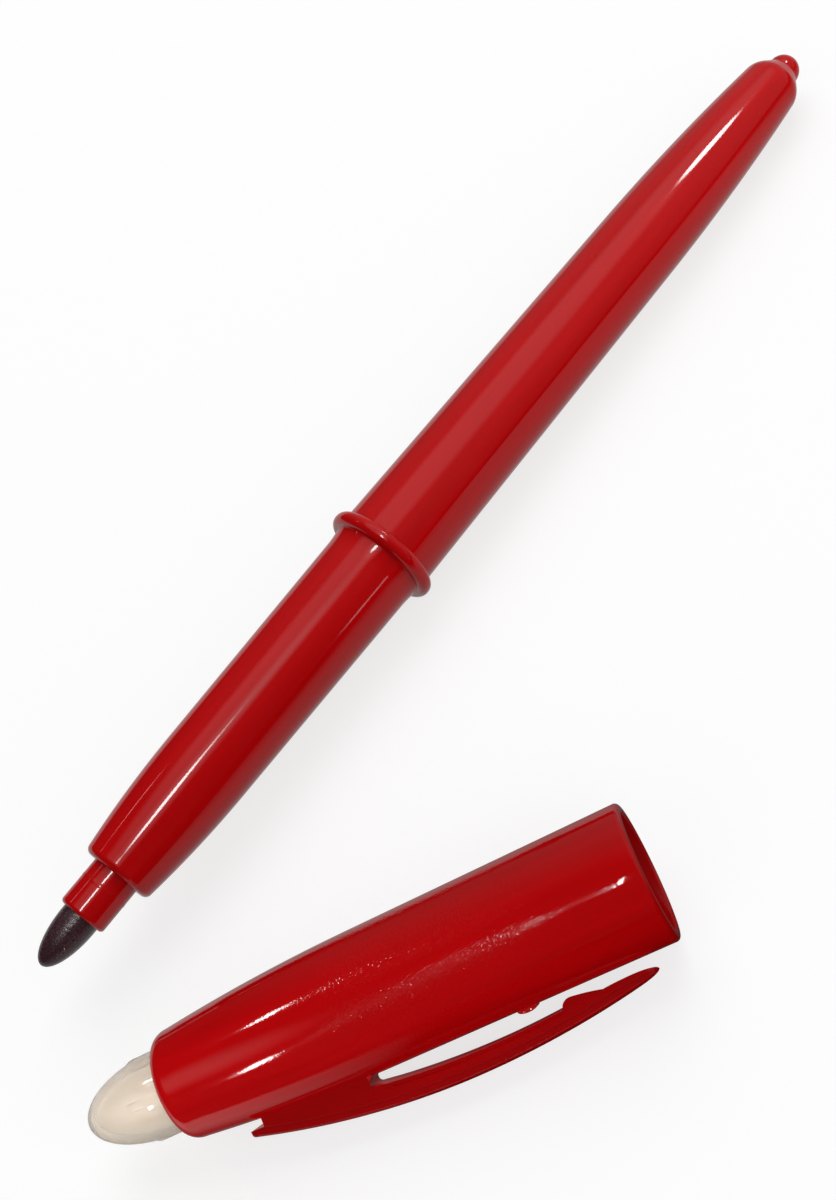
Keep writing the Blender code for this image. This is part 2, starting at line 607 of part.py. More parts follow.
def rest_pitch(radius, low_radius, start, end):
    """Slope of the axis when a turned body rests on a wide rim and on its own taper."""
    return min(atan2(low_radius - radius(at), at) for at in spread(start, end, 40))


def clip_dip(pitch):
    """Angle below the horizontal at which the clip's edge meets the table."""
    height = CAP_RADIUS * cos(pitch) - CLIP_APEX * sin(pitch) - CLIP_EDGE
    out = CAP_RADIUS + CLIP_RISE - CLIP_EDGE
    aside = clip_half_width(CLIP_APEX) - CLIP_EDGE
    return asin(height / hypot(out, aside)) - atan2(aside, out)


def world_points(pieces):
    """Every corner of the finished pieces, in world space."""
    bpy.context.view_layer.update()
    graph = bpy.context.evaluated_depsgraph_get()
    points = []
    for piece in pieces:
        shape = piece.evaluated_get(graph)
        points += [shape.matrix_world @ vert.co for vert in shape.to_mesh().vertices]
        shape.to_mesh_clear()
    return points


def lay_down(parent, pieces):
    """Set a parent's height so that its pieces just touch the table."""
    parent.location.z -= min(point.z for point in world_points(pieces))


def centre(parent, pieces):
    """Move a parent so that the middle of the whole stands over the origin."""
    points = world_points(pieces)
    for axis in (0, 1):
        values = [point[axis] for point in points]
        parent.location[axis] -= (min(values) + max(values)) / 2


def main():
    for old in list(bpy.data.objects):
        bpy.data.objects.remove(old, do_unlink=True)
    marker = new_empty("marker")

    barrel_axis = new_empty("barrel_axis", marker)
    lean = rest_pitch(barrel_radius, RING_RADIUS, SPIGOT_END, SEAM)
    barrel_axis.rotation_euler = (0, -lean, BARREL_HEADING)
    pen = [front_section(barrel_axis), barrel(barrel_axis), broad_nib_holder(barrel_axis),
           broad_nib(barrel_axis), ink_reservoir(barrel_axis), reservoir_sleeve(barrel_axis),
           fine_nib_holder(barrel_axis), fine_nib(barrel_axis), tail_cap(barrel_axis),
           tail_cap_liner(barrel_axis)]

    cap_axis = new_empty("cap_axis", marker)
    cap_axis.location = (CAP_OFFSET_X, CAP_OFFSET_Y, 0)
    lean = rest_pitch(cap_radius, CAP_RADIUS, CAP_CURVE_START / 2, CAP_LENGTH)
    cap_axis.rotation_euler = (pi / 2 + clip_dip(lean), -lean, 0)
    clip_hinge = new_empty("clip_hinge", cap_axis)
    clip_hinge.location = (-WEB_REAR, 0, clip_seat(WEB_REAR) - SEAT_GAP / 2)
    clip_frame = new_empty("clip_frame", clip_hinge)
    clip_frame.location = -clip_hinge.location
    cap = [cap_shell(cap_axis), inner_cap(cap_axis), clip(clip_frame)]

    lay_down(barrel_axis, pen)
    lay_down(cap_axis, cap)
    centre(marker, pen + cap)


main()
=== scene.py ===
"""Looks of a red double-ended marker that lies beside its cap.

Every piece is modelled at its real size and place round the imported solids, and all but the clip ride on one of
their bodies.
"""

import json
from math import atan2, cos, hypot, pi, radians, sin, sqrt, tan

import bmesh
import bpy
from mathutils import Euler, Matrix, Vector


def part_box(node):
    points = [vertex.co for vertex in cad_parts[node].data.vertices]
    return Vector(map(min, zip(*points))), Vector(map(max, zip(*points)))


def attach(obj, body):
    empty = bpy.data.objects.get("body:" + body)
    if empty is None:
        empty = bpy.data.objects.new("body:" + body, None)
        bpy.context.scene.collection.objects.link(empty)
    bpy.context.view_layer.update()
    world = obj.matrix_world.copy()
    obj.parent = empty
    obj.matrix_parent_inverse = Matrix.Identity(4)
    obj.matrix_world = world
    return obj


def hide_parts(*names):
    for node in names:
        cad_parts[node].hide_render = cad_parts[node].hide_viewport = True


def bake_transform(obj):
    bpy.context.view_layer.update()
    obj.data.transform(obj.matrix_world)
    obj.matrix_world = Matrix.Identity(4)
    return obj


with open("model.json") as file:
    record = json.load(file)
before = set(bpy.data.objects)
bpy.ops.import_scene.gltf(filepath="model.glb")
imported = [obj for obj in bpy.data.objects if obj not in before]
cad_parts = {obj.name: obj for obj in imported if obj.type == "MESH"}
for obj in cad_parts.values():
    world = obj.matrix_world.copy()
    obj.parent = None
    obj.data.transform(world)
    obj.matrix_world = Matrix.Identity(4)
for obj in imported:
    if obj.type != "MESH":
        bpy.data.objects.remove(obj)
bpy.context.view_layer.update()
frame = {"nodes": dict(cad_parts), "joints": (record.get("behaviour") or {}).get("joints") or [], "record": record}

bl_info = {
    "name": "Double-ended Marker",
    "version": (1, 0, 0),
    "blender": (4, 5, 0),
    "location": "3D View > Sidebar > Marker",
    "description": "Models a red double-ended marker and its cap round their packed solids",
    "category": "Add Mesh",
}

MM = 0.001
TURN_STEPS = 160                # sides of a turned piece
WELD = 1e-7                     # points closer than this are one
SHARP = radians(35)             # edges steeper than this stay crisp
PLAY = 0.2 * MM                 # gap round a piece that goes into another
END_PLAY = 0.3 * MM             # gap behind the end of such a piece
NECK_PLAY = 0.03 * MM           # gap round the neck in the shoulder
NIB_PLAY = 0.04 * MM            # gap round a nib in its holder
EDGE = 0.06 * MM                # bevel of a moulded edge in sight
POINT_EDGE = 0.05 * MM          # bevel of an edge on a point
HIDDEN_EDGE = 0.12 * MM         # bevel of an edge inside the marker
NOSE_DRAFT = radians(6)         # lean of the clip's nose and bump towards their far side
NOISE_LOW, NOISE_HIGH = 0.3, 0.7    # most of a noise lies between these
POLYPROPYLENE_IOR = 1.49
FILM_SIZE = 36.0                # longer side of the camera's film, in millimetres

# Places of the sleeve and of the rim's mount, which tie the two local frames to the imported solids
SLEEVE_BEHIND_RING = 8.5 * MM
RIM_MOUNT_RADIUS = 6.085 * MM


def joint_axis(name):
    """Direction of a joint of the frame."""
    return next(Vector(joint["axis"]).normalized() for joint in frame["joints"] if joint["name"] == name)


def middle(node):
    """Middle of a node's box."""
    low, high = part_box(node)
    return (low + high) / 2


def local_frame(along, across, origin):
    """Matrix of a frame with its X along and its Y across a piece."""
    return Matrix.Translation(origin) @ Matrix((along, across, along.cross(across))).transposed().to_4x4()


def pen_frame():
    """Frame of the pen: the middle of its ring, with X towards the broad nib."""
    along = -joint_axis("tail_cap_pull")
    across = Vector((0, 0, 1)).cross(along).normalized()
    return local_frame(along, across, middle("reservoir_sleeve") + along * SLEEVE_BEHIND_RING)


def cap_frame():
    """Frame of the cap: the middle of its mouth, with X out of the mouth and the clip on +Z."""
    along = joint_axis("cap_push")
    across = -joint_axis("clip_flex")
    rim = next(mount for mount in frame["record"]["mounts"] if mount["name"] == "cap_mouth_rim")
    return local_frame(along, across, Vector(rim["pos_m"]) + along.cross(across) * RIM_MOUNT_RADIUS)


PEN = pen_frame()
CAP = cap_frame()


def linear(hex_colour):
    """Linear RGBA of an sRGB colour written as six hex digits."""
    channels = [int(hex_colour[i:i + 2], 16) / 255 for i in (0, 2, 4)]
    return (*[c / 12.92 if c <= 0.04045 else ((c + 0.055) / 1.055) ** 2.4 for c in channels], 1.0)


def length(name, description, millimetres):
    """A length that a user can change, given in millimetres and kept in metres."""
    return bpy.props.FloatProperty(name=name, description=description, default=millimetres * MM,
                                   min=0.0, unit="LENGTH", precision=5)


def share(name, description, default):
    """A number from 0 to 1 that a user can change."""
    return bpy.props.FloatProperty(name=name, description=description, default=default,
                                   min=0.0, max=1.0, subtype="FACTOR")


def strength(name, description, default):
    """Brightness of a light, where 1 is white."""
    return bpy.props.FloatProperty(name=name, description=description, default=default, min=0.0)


def colour(name, description, hex_colour):
    """A colour that a user can change."""
    return bpy.props.FloatVectorProperty(name=name, description=description, size=4, min=0.0, max=1.0,
                                         subtype="COLOR", default=linear(hex_colour))


class PenSizes(bpy.types.PropertyGroup):
    """Sizes of the barrel, the front section and the tail, measured from the middle of the ring."""

    ring_radius: length("Ring Radius", "Radius over the ring", 6.50)
    ring_width: length("Ring Width", "Width of the ring along the barrel", 1.75)
    ring_edge: length("Ring Edge", "Rounding of the ring's edges", 0.80)
    body_start: length("Body Start", "Where both tapers start, ahead of and behind the ring", 1.35)
    ring_foot: length("Ring Foot", "Radius at which the ring meets the front section", 5.45)
    flare_length: length("Flare Length", "How far the front section flares out to the ring", 2.20)
    barrel_radius: length("Barrel Radius", "Radius of the barrel just behind the ring", 5.55)
    barrel_bend: length("Barrel Bend", "Where the straight taper of the barrel starts to curve in", 48.5)
    bend_radius: length("Bend Radius", "Radius of the barrel where it starts to curve in", 5.03)
    seam: length("Seam", "Mouth of the tail cap", 60.3)
    seam_gap: length("Seam Gap", "Hairline between the barrel and the tail cap", 0.01)
    tail_length: length("Tail Length", "Where the taper would end", 79.0)
    tail_radius: length("Tail Radius", "Radius at which the taper would end", 3.30)
    tail_edge_start: length("Tail Edge Start", "Where the tail starts to round off", 76.10)
    tail_edge: length("Tail Edge", "Rounding of the tail's end", 3.00)
    nub_radius: length("Nub Radius", "Radius of the round nub at the tail's end", 1.95)
    nub_fillet: length("Nub Fillet", "Hollow rounding at the nub's foot", 0.20)
    nub_end: length("Nub End", "Tip of the nub", 81.25)
    front_radius: length("Front Radius", "Radius of the front section just ahead of the ring", 5.25)
    front_bend: length("Front Bend", "Where the front section starts to curve in", 30.0)
    front_bend_radius: length("Front Bend Radius", "Radius where the front section starts to curve in", 4.97)
    front_length: length("Front Length", "Face of the shoulder", 44.15)
    shoulder_radius: length("Shoulder Radius", "Radius at which the front section would end", 3.98)
    shoulder_edge: length("Shoulder Edge", "Rounding of the shoulder", 0.8)
    bore: length("Bore", "Radius of the bore that holds the reservoir", 4.05)
    spigot_radius: length("Spigot Radius", "Radius of the spigot that joins the two tubes", 4.65)
    spigot_end: length("Spigot End", "Rear end of that spigot", 10.85)
    tail_spigot_radius: length("Tail Spigot Radius", "Radius of the spigot that carries the tail cap", 3.30)
    tail_spigot_end: length("Tail Spigot End", "Rear end of that spigot", 66.8)
    tail_bore: length("Tail Bore", "Radius of the tail cap's bore", 3.50)


class PointSizes(bpy.types.PropertyGroup):
    """Sizes of the two points and of what holds them, measured from the middle of the ring."""

    neck_radius: length("Neck Radius", "Radius of the neck that holds the broad nib", 2.68)
    neck_end: length("Neck End", "Front face of the neck", 49.5)
    neck_edge: length("Neck Edge", "Rounding of the neck's front edge", 0.45)
    neck_bead: length("Neck Bead", "Place of the low bead round the neck", 46.0)
    bead_height: length("Bead Height", "How far the bead stands out", 0.03)
    bead_width: length("Bead Width", "Width of the bead along the neck", 0.6)
    plug_radius: length("Plug Radius", "Radius of the plug inside the front section", 3.25)
    plug_rear: length("Plug Rear", "Rear end of that plug", 32.8)
    plug_front: length("Plug Front", "Front end of that plug", 42.3)
    nib_radius: length("Nib Radius", "Radius of the broad nib", 2.08)
    nib_widest: length("Nib Widest", "Where the broad nib starts to narrow", 49.8)
    nib_tip: length("Nib Tip", "Tip of the broad nib", 55.55)
    nib_tail_radius: length("Nib Tail Radius", "Radius of the nib's tail in the reservoir", 1.5)
    nib_tail: length("Nib Tail", "Rear end of the nib's tail", 27.5)
    fine_bore: length("Fine Bore", "Radius of the bore that holds the fine point's plug", 2.40)
    fine_plug_radius: length("Fine Plug Radius", "Radius of the fine point's plug", 2.20)
    fine_plug_start: length("Fine Plug Start", "Inner end of that plug, behind the ring", 50.1)
    flange_radius: length("Flange Radius", "Radius of the flange that seats on the spigot", 2.90)
    flange_start: length("Flange Start", "Inner face of that flange, behind the ring", 66.85)
    flange_end: length("Flange End", "Outer face of that flange, behind the ring", 67.9)
    fine_neck_radius: length("Fine Neck Radius", "Radius of the fine point's neck", 1.75)
    fine_neck_end: length("Fine Neck End", "Where the fine neck starts to narrow", 70.5)
    fine_cone_radius: length("Fine Cone Radius", "Radius of the fine neck's narrow end", 1.05)
    fine_cone_end: length("Fine Cone End", "Narrow end of the fine neck", 73.3)
    fine_nib_radius: length("Fine Nib Radius", "Radius of the fine nib", 0.60)
    fine_nib_tail: length("Fine Nib Tail", "Inner end of the fine nib, behind the ring", 46.5)
    fine_nib_tip: length("Fine Nib Tip", "Tip of the fine nib, behind the ring", 75.5)
    fine_taper: length("Fine Taper", "Length of the fine nib's tapered tip", 1.2)
    fine_tip_radius: length("Fine Tip Radius", "Rounding of the fine nib's tip", 0.22)
    liner_bore: length("Liner Bore", "Radius inside the liner", 1.95)
    liner_radius: length("Liner Radius", "Radius of the liner", 2.55)
    liner_start: length("Liner Start", "Mouth of the liner, behind the ring", 68.2)
    liner_flange_end: length("Liner Flange End", "End of the liner's flange", 68.9)
    liner_end: length("Liner End", "Closed end of the liner", 77.0)
    liner_wall: length("Liner Wall", "Thickness of the liner's end", 0.6)


class CapSizes(bpy.types.PropertyGroup):
    """Sizes of the cap and of the cup inside it, measured in from the cap's mouth."""

    radius: length("Radius", "Radius of the cap at its mouth", 6.66)
    bend: length("Bend", "Where the straight taper of the cap starts to curve in", 28.0)
    bend_radius: length("Bend Radius", "Radius of the cap where it starts to curve in", 6.44)
    end: length("End", "Closed end of the cap's shell", 48.9)
    end_radius: length("End Radius", "Radius at which the shell would end", 5.07)
    end_edge: length("End Edge", "Length of the rounding at the shell's end", 1.50)
    end_rim: length("End Rim", "Flat rim left round the dome", 0.12)
    wall: length("Wall", "Thickness of the shell", 1.0)
    lip_edge: length("Lip Edge", "Rounding outside the mouth", 0.45)
    lip_chamfer: length("Lip Chamfer", "Chamfer inside the mouth", 0.20)
    step: length("Step", "Inner face of the shell's end", 44.9)
    dome_hole: length("Dome Hole", "Radius of the hole for the dome", 4.02)
    cup_mouth: length("Cup Mouth", "Mouth of the inner cup", 43.7)
    flange_end: length("Flange End", "End of the cup's flange", 44.6)
    cup_bore: length("Cup Bore", "Radius inside the cup", 2.88)
    dome_radius: length("Dome Radius", "Radius of the dome where it leaves the shell", 3.95)
    dome_start: length("Dome Start", "Where the dome starts to round off", 49.7)
    dome_end: length("Dome End", "Tip of the dome", 57.95)
    dome_wall: length("Dome Wall", "Thickness of the dome at its tip", 1.2)
    cup_edge: length("Cup Edge", "Rounding of the cup's edges", 0.10)
    rib_width: length("Rib Width", "Width of a vent rib on the dome", 0.90)
    rib_radius: length("Rib Radius", "Radius over the vent ribs", 3.98)
    rib_end: length("Rib End", "Outer end of the vent ribs", 52.4)
    rib_slope: length("Rib Slope", "Length over which a vent rib fades out", 0.5)
    pip_at: length("Pip Place", "Middle of the tooth under the clip's arm", 15.1)
    pip_length: length("Pip Length", "Length of that tooth", 2.0)
    pip_half_width: length("Pip Half Width", "Half the width of that tooth", 0.70)
    pip_height: length("Pip Height", "How far that tooth stands out", 0.38)


class ClipSizes(bpy.types.PropertyGroup):
    """Sizes of the clip, measured in from the cap's mouth and out from the cap's axis."""

    apex: length("Apex", "Where the clip's bow is highest", 20.9)
    apex_radius: length("Apex Radius", "Outer edge of the clip at its apex", 10.22)
    tail: length("Tail", "Rear end of the clip", 43.2)
    tail_drop: length("Tail Drop", "How far the bow has dropped at the tail", 3.14)
    tail_thickness: length("Tail Thickness", "Height of the lip at the tail", 0.70)
    tail_nose: length("Tail Nose", "Length of the rounding at the tail", 0.40)
    tip: length("Tip", "Front end of the clip", 2.95)
    tip_drop: length("Tip Drop", "How far the bow has dropped at the tip", 1.75)
    tip_nose: length("Tip Nose", "Length over which the bar narrows at the tip", 1.6)
    tip_thickness: length("Tip Thickness", "Height of the clip where its tip starts to narrow", 1.72)
    bar: length("Bar", "Height of the clip's bar", 1.0)
    half_width: length("Half Width", "Half the width of the bar over the web", 1.9)
    tip_half_width: length("Tip Half Width", "Half the width of the bar at the tip", 1.3)
    crown: length("Crown", "How far the bar's top is arched across", 0.12)
    upper_edge: length("Upper Edge", "Rounding of the bar's outer edges", 0.45)
    bar_step: length("Bar Step", "How far the rib and the web stand out past the bar", 0.07)
    flange: length("Flange", "Height of the thin flange along the arm's inner edge", 0.42)
    flange_depth: length("Flange Depth", "How far that flange is set back", 0.14)
    rib_edge: length("Rib Edge", "Rounding of the rib's inner edges", 0.10)
    foot_inset: length("Foot Inset", "How far the slot's rounded end is set back from the web's flanks", 0.04)
    web_rear: length("Web Rear", "Rear end of the web between cap and clip", 41.6)
    notch_edge: length("Notch Edge", "Rounding of the notch behind the web", 0.22)
    web_front: length("Web Front", "Front end of that web", 30.5)
    web_sink: length("Web Sink", "How deep the web runs into the shell", 0.6)
    arm_apex: length("Arm Apex", "Where the arm's inner edge is highest", 18.5)
    arm_radius: length("Arm Radius", "Inner edge of the arm at that place", 8.13)
    arm_drop: length("Arm Drop", "How far the inner edge has dropped at the web", 0.85)
    bump_at: length("Bump Place", "Top of the bump that grips a pocket", 11.2)
    bump_height: length("Bump Height", "How far the bump stands out of the arm", 0.79)
    bump_rise: length("Bump Rise", "Length of the bump's steep side", 0.9)
    bump_run: length("Bump Run", "Length of the bump's gentle side", 3.0)


class Finish(bpy.types.PropertyGroup):
    """Colours and gloss of the marker's materials."""

    red: colour("Red", "Mass colour of the moulded plastic", "B80408")
    red_deep: colour("Deep Red", "Colour of the plastic where the pigment lies denser", "B00306")
    nib: colour("Nib", "Fibre of the nibs, dark with ink", "34191F")
    nib_dry: colour("Dry Nib", "Fibre ends of the nibs that hold less ink", "4A3036")
    milky: colour("Milky Plastic", "Natural plastic of the dome and the liner", "FFF4E6")
    soaked: colour("Soaked Fibre", "Fibre of the reservoir", "8E0D14")
    film: colour("Film", "Film wrapped round the reservoir", "E2E2E4")
    gloss: share("Gloss Roughness", "Roughness of the polished plastic", 0.05)


class Stage(bpy.types.PropertyGroup):
    """Camera, floor and light."""

    camera_place: bpy.props.FloatVectorProperty(
        name="Camera Place", description="Where the camera stands", subtype="TRANSLATION", unit="LENGTH",
        default=(0.014968, -0.114397, 0.139327))
    camera_aim: bpy.props.FloatVectorProperty(
        name="Camera Aim", description="Point at the middle of the picture", subtype="TRANSLATION",
        unit="LENGTH", default=(-0.009043, -0.002800, 0.007000))
    camera_roll: bpy.props.FloatProperty(
        name="Camera Roll", description="Turn of the camera about its line of sight", subtype="ANGLE",
        default=radians(-35.27))
    camera_lens: bpy.props.FloatProperty(
        name="Camera Lens", description="Focal length over a film 36 mm high", unit="CAMERA",
        default=49.755)
    floor: colour("Floor", "Pale paper that the marker lies on", "A0A0A0")
    floor_radius: bpy.props.FloatProperty(
        name="Floor Radius", description="Radius of the floor", unit="LENGTH", default=3.0)
    floor_glow: strength("Floor Glow", "White that the paper adds where it is looked at", 0.74)
    # The next two set a glow that the paper gives off in reflections only, a painted reflection of the floor
    # before and behind the pen
    painted_front_sheen: strength("Floor Sheen", "Brightness of the paper before the pen as gloss shows it", 0.40)
    painted_back_sheen: strength("Back Sheen", "Brightness of the paper behind the pen as gloss shows it", 0.55)
    room: strength("Room", "Brightness of the dim side of the room", 0.10)
    room_sheen: strength("Room Sheen", "Brightness of the room's dim side as gloss shows it", 0.04)
    window: strength("Window", "Brightness of the wide window behind the marker", 0.40)
    key: strength("Key", "Light of the main soft lamp on a surface that faces it", 0.56)
    fill: strength("Fill", "Light of each of the two soft lamps near the camera", 0.29)
    near: strength("Near Lamps", "Light of the lamps near the tail and the dome", 0.55)


def spread(start, end, steps):
    """Evenly spaced values from start to end, both included."""
    return [start + (end - start) * i / steps for i in range(steps + 1)]


def arc(centre_x, centre_r, half_x, half_r, start, end, steps):
    """Points of an elliptical arc, with angles in degrees from the first axis towards the second."""
    return [(centre_x + half_x * cos(radians(angle)), centre_r + half_r * sin(radians(angle)))
            for angle in spread(start, end, steps)]


def tapered(at, start, start_radius, bend, bend_radius, end, end_radius):
    """Radius of a straight taper from start to bend that curves in to end_radius at end."""
    slope = (start_radius - bend_radius) / (bend - start)
    if at <= bend:
        return start_radius - slope * (at - start)
    curve = (bend_radius - end_radius - slope * (end - bend)) / (end - bend) ** 2
    return bend_radius - slope * (at - bend) - curve * (at - bend) ** 2


def bowed(at, apex, apex_radius, end, drop):
    """Radius of an arc that is highest at its apex and has dropped by a given amount at end."""
    bow = ((end - apex) ** 2 + drop ** 2) / (2 * drop)
    return apex_radius - bow + sqrt(bow ** 2 - (at - apex) ** 2)


def barrel_radius(pen, behind):
    """Outside radius of the rear barrel and the tail cap at a distance behind the ring."""
    return tapered(behind, pen.body_start, pen.barrel_radius, pen.barrel_bend, pen.bend_radius,
                   pen.tail_length, pen.tail_radius)


def front_radius(pen, ahead):
    """Outside radius of the front section, flared where it meets the ring."""
    radius = tapered(ahead, pen.body_start, pen.front_radius, pen.front_bend, pen.front_bend_radius,
                     pen.front_length, pen.shoulder_radius)
    flare = max(1 - (ahead - pen.ring_width / 2) / pen.flare_length, 0.0)
    return radius + (pen.ring_foot - pen.front_radius) * flare ** 2


def cap_radius(cap, inward):
    """Outside radius of the cap at a distance in from its mouth."""
    return tapered(inward, 0.0, cap.radius, cap.bend, cap.bend_radius, cap.end, cap.end_radius)


def turned(outline, closed, steps=TURN_STEPS):
    """Spin an outline of (x, radius) points about X; a closed one makes a tube."""
    bm = bmesh.new()
    verts = [bm.verts.new((x, 0.0, max(r, 0.0))) for x, r in outline]
    pairs = list(zip(verts, verts[1:]))
    if closed:
        pairs.append((verts[-1], verts[0]))
    edges = [bm.edges.new(pair) for pair in pairs]
    bmesh.ops.spin(bm, geom=verts + edges, cent=(0, 0, 0), axis=(1, 0, 0), angle=2 * pi,
                   steps=steps, use_merge=True)
    return close(bm)


def close(bm):
    """Merge seams and poles and point the faces out."""
    bmesh.ops.remove_doubles(bm, verts=bm.verts, dist=WELD)
    bmesh.ops.recalc_face_normals(bm, faces=bm.faces)
    return bm


def soften(bm, width, segments=3):
    """Round every crisp edge by a small bevel."""
    crisp = [edge for edge in bm.edges if edge.is_manifold and edge.calc_face_angle() > SHARP]
    bmesh.ops.bevel(bm, geom=crisp, offset=width, offset_type="OFFSET", affect="EDGES", segments=segments,
                    profile=0.5, clamp_overlap=True, material=-1)
    return bm


def lofted(sections):
    """Bridge closed sections in order and close both ends."""
    bm = bmesh.new()
    rows = [[bm.verts.new(point) for point in section] for section in sections]
    loops = [[bm.edges.new((a, b)) for a, b in zip(row, row[1:] + row[:1])] for row in rows]
    for near, far in zip(loops, loops[1:]):
        bmesh.ops.bridge_loops(bm, edges=near + far)
    bm.faces.new(rows[0])
    bm.faces.new(rows[-1])
    return close(bm)


def add_plate(bm, outline, half_width):
    """Extrude an outline of (x, radius) points evenly to both sides of the clip's plane."""
    face = bm.faces.new([bm.verts.new((x, -half_width, r)) for x, r in outline])
    grown = bmesh.ops.extrude_face_region(bm, geom=[face])["geom"]
    moved = [item for item in grown if isinstance(item, bmesh.types.BMVert)]
    bmesh.ops.translate(bm, verts=moved, vec=(0, 2 * half_width, 0))
    return close(bm)


def new_piece(name, bm, place, material, nodes):
    """Set a mesh in its place as a new object that stands for CAD nodes."""
    bmesh.ops.transform(bm, matrix=place, verts=bm.verts)
    mesh = bpy.data.meshes.new(name)
    bm.to_mesh(mesh)
    bm.free()
    mesh.shade_smooth()
    mesh.set_sharp_from_angle(angle=SHARP)
    mesh.materials.append(material)
    obj = bpy.data.objects.new(name, mesh)
    bpy.context.scene.collection.objects.link(obj)
    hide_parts(*nodes)
    return obj


def add(tree, kind, sockets=None, **settings):
    """Add a node, set its properties, and set or link its sockets."""
    node = tree.nodes.new(kind)
    for name, value in settings.items():
        setattr(node, name, value)
    for name, value in (sockets or {}).items():
        if isinstance(value, bpy.types.NodeSocket):
            tree.links.new(value, node.inputs[name])
        else:
            node.inputs[name].default_value = value
    return node


def new_material(name):
    """An empty node material with its output."""
    material = bpy.data.materials.new(name)
    material.use_nodes = True
    tree = material.node_tree
    tree.nodes.clear()
    return material, tree, add(tree, "ShaderNodeOutputMaterial")


def along_piece(tree, place, stretch=(1, 1, 1)):
    """Object coordinates turned into a piece's own frame, with X along it, and stretched."""
    coordinates = add(tree, "ShaderNodeTexCoord")
    return add(tree, "ShaderNodeMapping", {
        "Vector": coordinates.outputs["Object"], "Location": place.translation, "Rotation": place.to_euler(),
        "Scale": stretch}, vector_type="TEXTURE").outputs["Vector"]


def moulded_red(name, place, peel_height, peel_size, peel_middle, peel_reach):
    """Polypropylene, coloured red in the mass and injection moulded in a polished tool.

    The eye sees a deep even red under a clear gloss. Pigment lies a little denser along the flow of the melt.
    A faint orange peel breaks up the highlights, most of all round the place where the tool is worn.
    """
    finish = bpy.context.scene.marker_finish
    flow_length, flow_width = 24 * MM, 1.6 * MM
    haze_size = 7 * MM
    material, tree, output = new_material(name)
    flow = add(tree, "ShaderNodeTexNoise", {
        "Vector": along_piece(tree, place, (flow_length, flow_width, flow_width)), "Scale": 1.0,
        "Detail": 2.0})
    pigment = add(tree, "ShaderNodeValToRGB", {"Fac": flow.outputs["Fac"]})
    pigment.color_ramp.elements[0].color = finish.red_deep
    pigment.color_ramp.elements[0].position = 0.35
    pigment.color_ramp.elements[1].color = finish.red
    pigment.color_ramp.elements[1].position = 0.65
    plain = along_piece(tree, place)
    haze = add(tree, "ShaderNodeTexNoise", {"Vector": plain, "Scale": 1 / haze_size, "Detail": 3.0})
    rough = add(tree, "ShaderNodeMapRange", {
        "Value": haze.outputs["Fac"], "From Min": NOISE_LOW, "From Max": NOISE_HIGH,
        "To Min": finish.gloss * 0.85, "To Max": finish.gloss * 1.25})
    along = add(tree, "ShaderNodeSeparateXYZ", {"Vector": plain})
    from_middle = add(tree, "ShaderNodeMath", {0: along.outputs["X"], 1: peel_middle}, operation="SUBTRACT")
    apart = add(tree, "ShaderNodeMath", {0: from_middle.outputs["Value"]}, operation="ABSOLUTE")
    worn = add(tree, "ShaderNodeMapRange", {
        "Value": apart.outputs["Value"], "From Min": peel_reach, "From Max": peel_reach / 2, "To Min": 0.1,
        "To Max": 1.0})
    peel = add(tree, "ShaderNodeTexNoise", {"Vector": plain, "Scale": 1 / peel_size, "Detail": 1.5})
    skin = add(tree, "ShaderNodeBump", {
        "Strength": worn.outputs["Result"], "Distance": peel_height, "Height": peel.outputs["Fac"]})
    shader = add(tree, "ShaderNodeBsdfPrincipled", {
        "Base Color": pigment.outputs["Color"], "Roughness": rough.outputs["Result"],
        "Normal": skin.outputs["Normal"], "IOR": POLYPROPYLENE_IOR})
    tree.links.new(shader.outputs["BSDF"], output.inputs["Surface"])
    return material


def inked_fibre(name, place):
    """Polyester fibre bonded and ground to a bullet, soaked with dark ink.

    The eye sees a dark aubergine with fine pores, wet enough to break the light up into small glints.
    """
    finish = bpy.context.scene.marker_finish
    pore_size, pore_depth = 0.18 * MM, 0.05 * MM    # coarser than the real pores, which are too fine to show
    fibre_length, fibre_width = 1.4 * MM, 0.12 * MM
    material, tree, output = new_material(name)
    plain = along_piece(tree, place)
    strands = add(tree, "ShaderNodeTexNoise", {
        "Vector": along_piece(tree, place, (fibre_length, fibre_width, fibre_width)), "Scale": 1.0,
        "Detail": 2.0})
    tint = add(tree, "ShaderNodeValToRGB", {"Fac": strands.outputs["Fac"]})
    tint.color_ramp.elements[0].color = finish.nib
    tint.color_ramp.elements[0].position = 0.45
    tint.color_ramp.elements[1].color = finish.nib_dry
    tint.color_ramp.elements[1].position = 0.85
    pores = add(tree, "ShaderNodeTexNoise", {"Vector": plain, "Scale": 1 / pore_size, "Detail": 2.0})
    skin = add(tree, "ShaderNodeBump", {
        "Strength": 1.0, "Distance": pore_depth, "Height": pores.outputs["Fac"]})
    rough = add(tree, "ShaderNodeMapRange", {
        "Value": pores.outputs["Fac"], "From Min": NOISE_LOW, "From Max": NOISE_HIGH, "To Min": 0.18,
        "To Max": 0.38})
    shader = add(tree, "ShaderNodeBsdfPrincipled", {
        "Base Color": tint.outputs["Color"], "Roughness": rough.outputs["Result"],
        "Normal": skin.outputs["Normal"], "IOR": 1.45, "Coat Weight": 0.5, "Coat Roughness": 0.08,
        "Coat Normal": skin.outputs["Normal"]})
    tree.links.new(shader.outputs["BSDF"], output.inputs["Surface"])
    return material


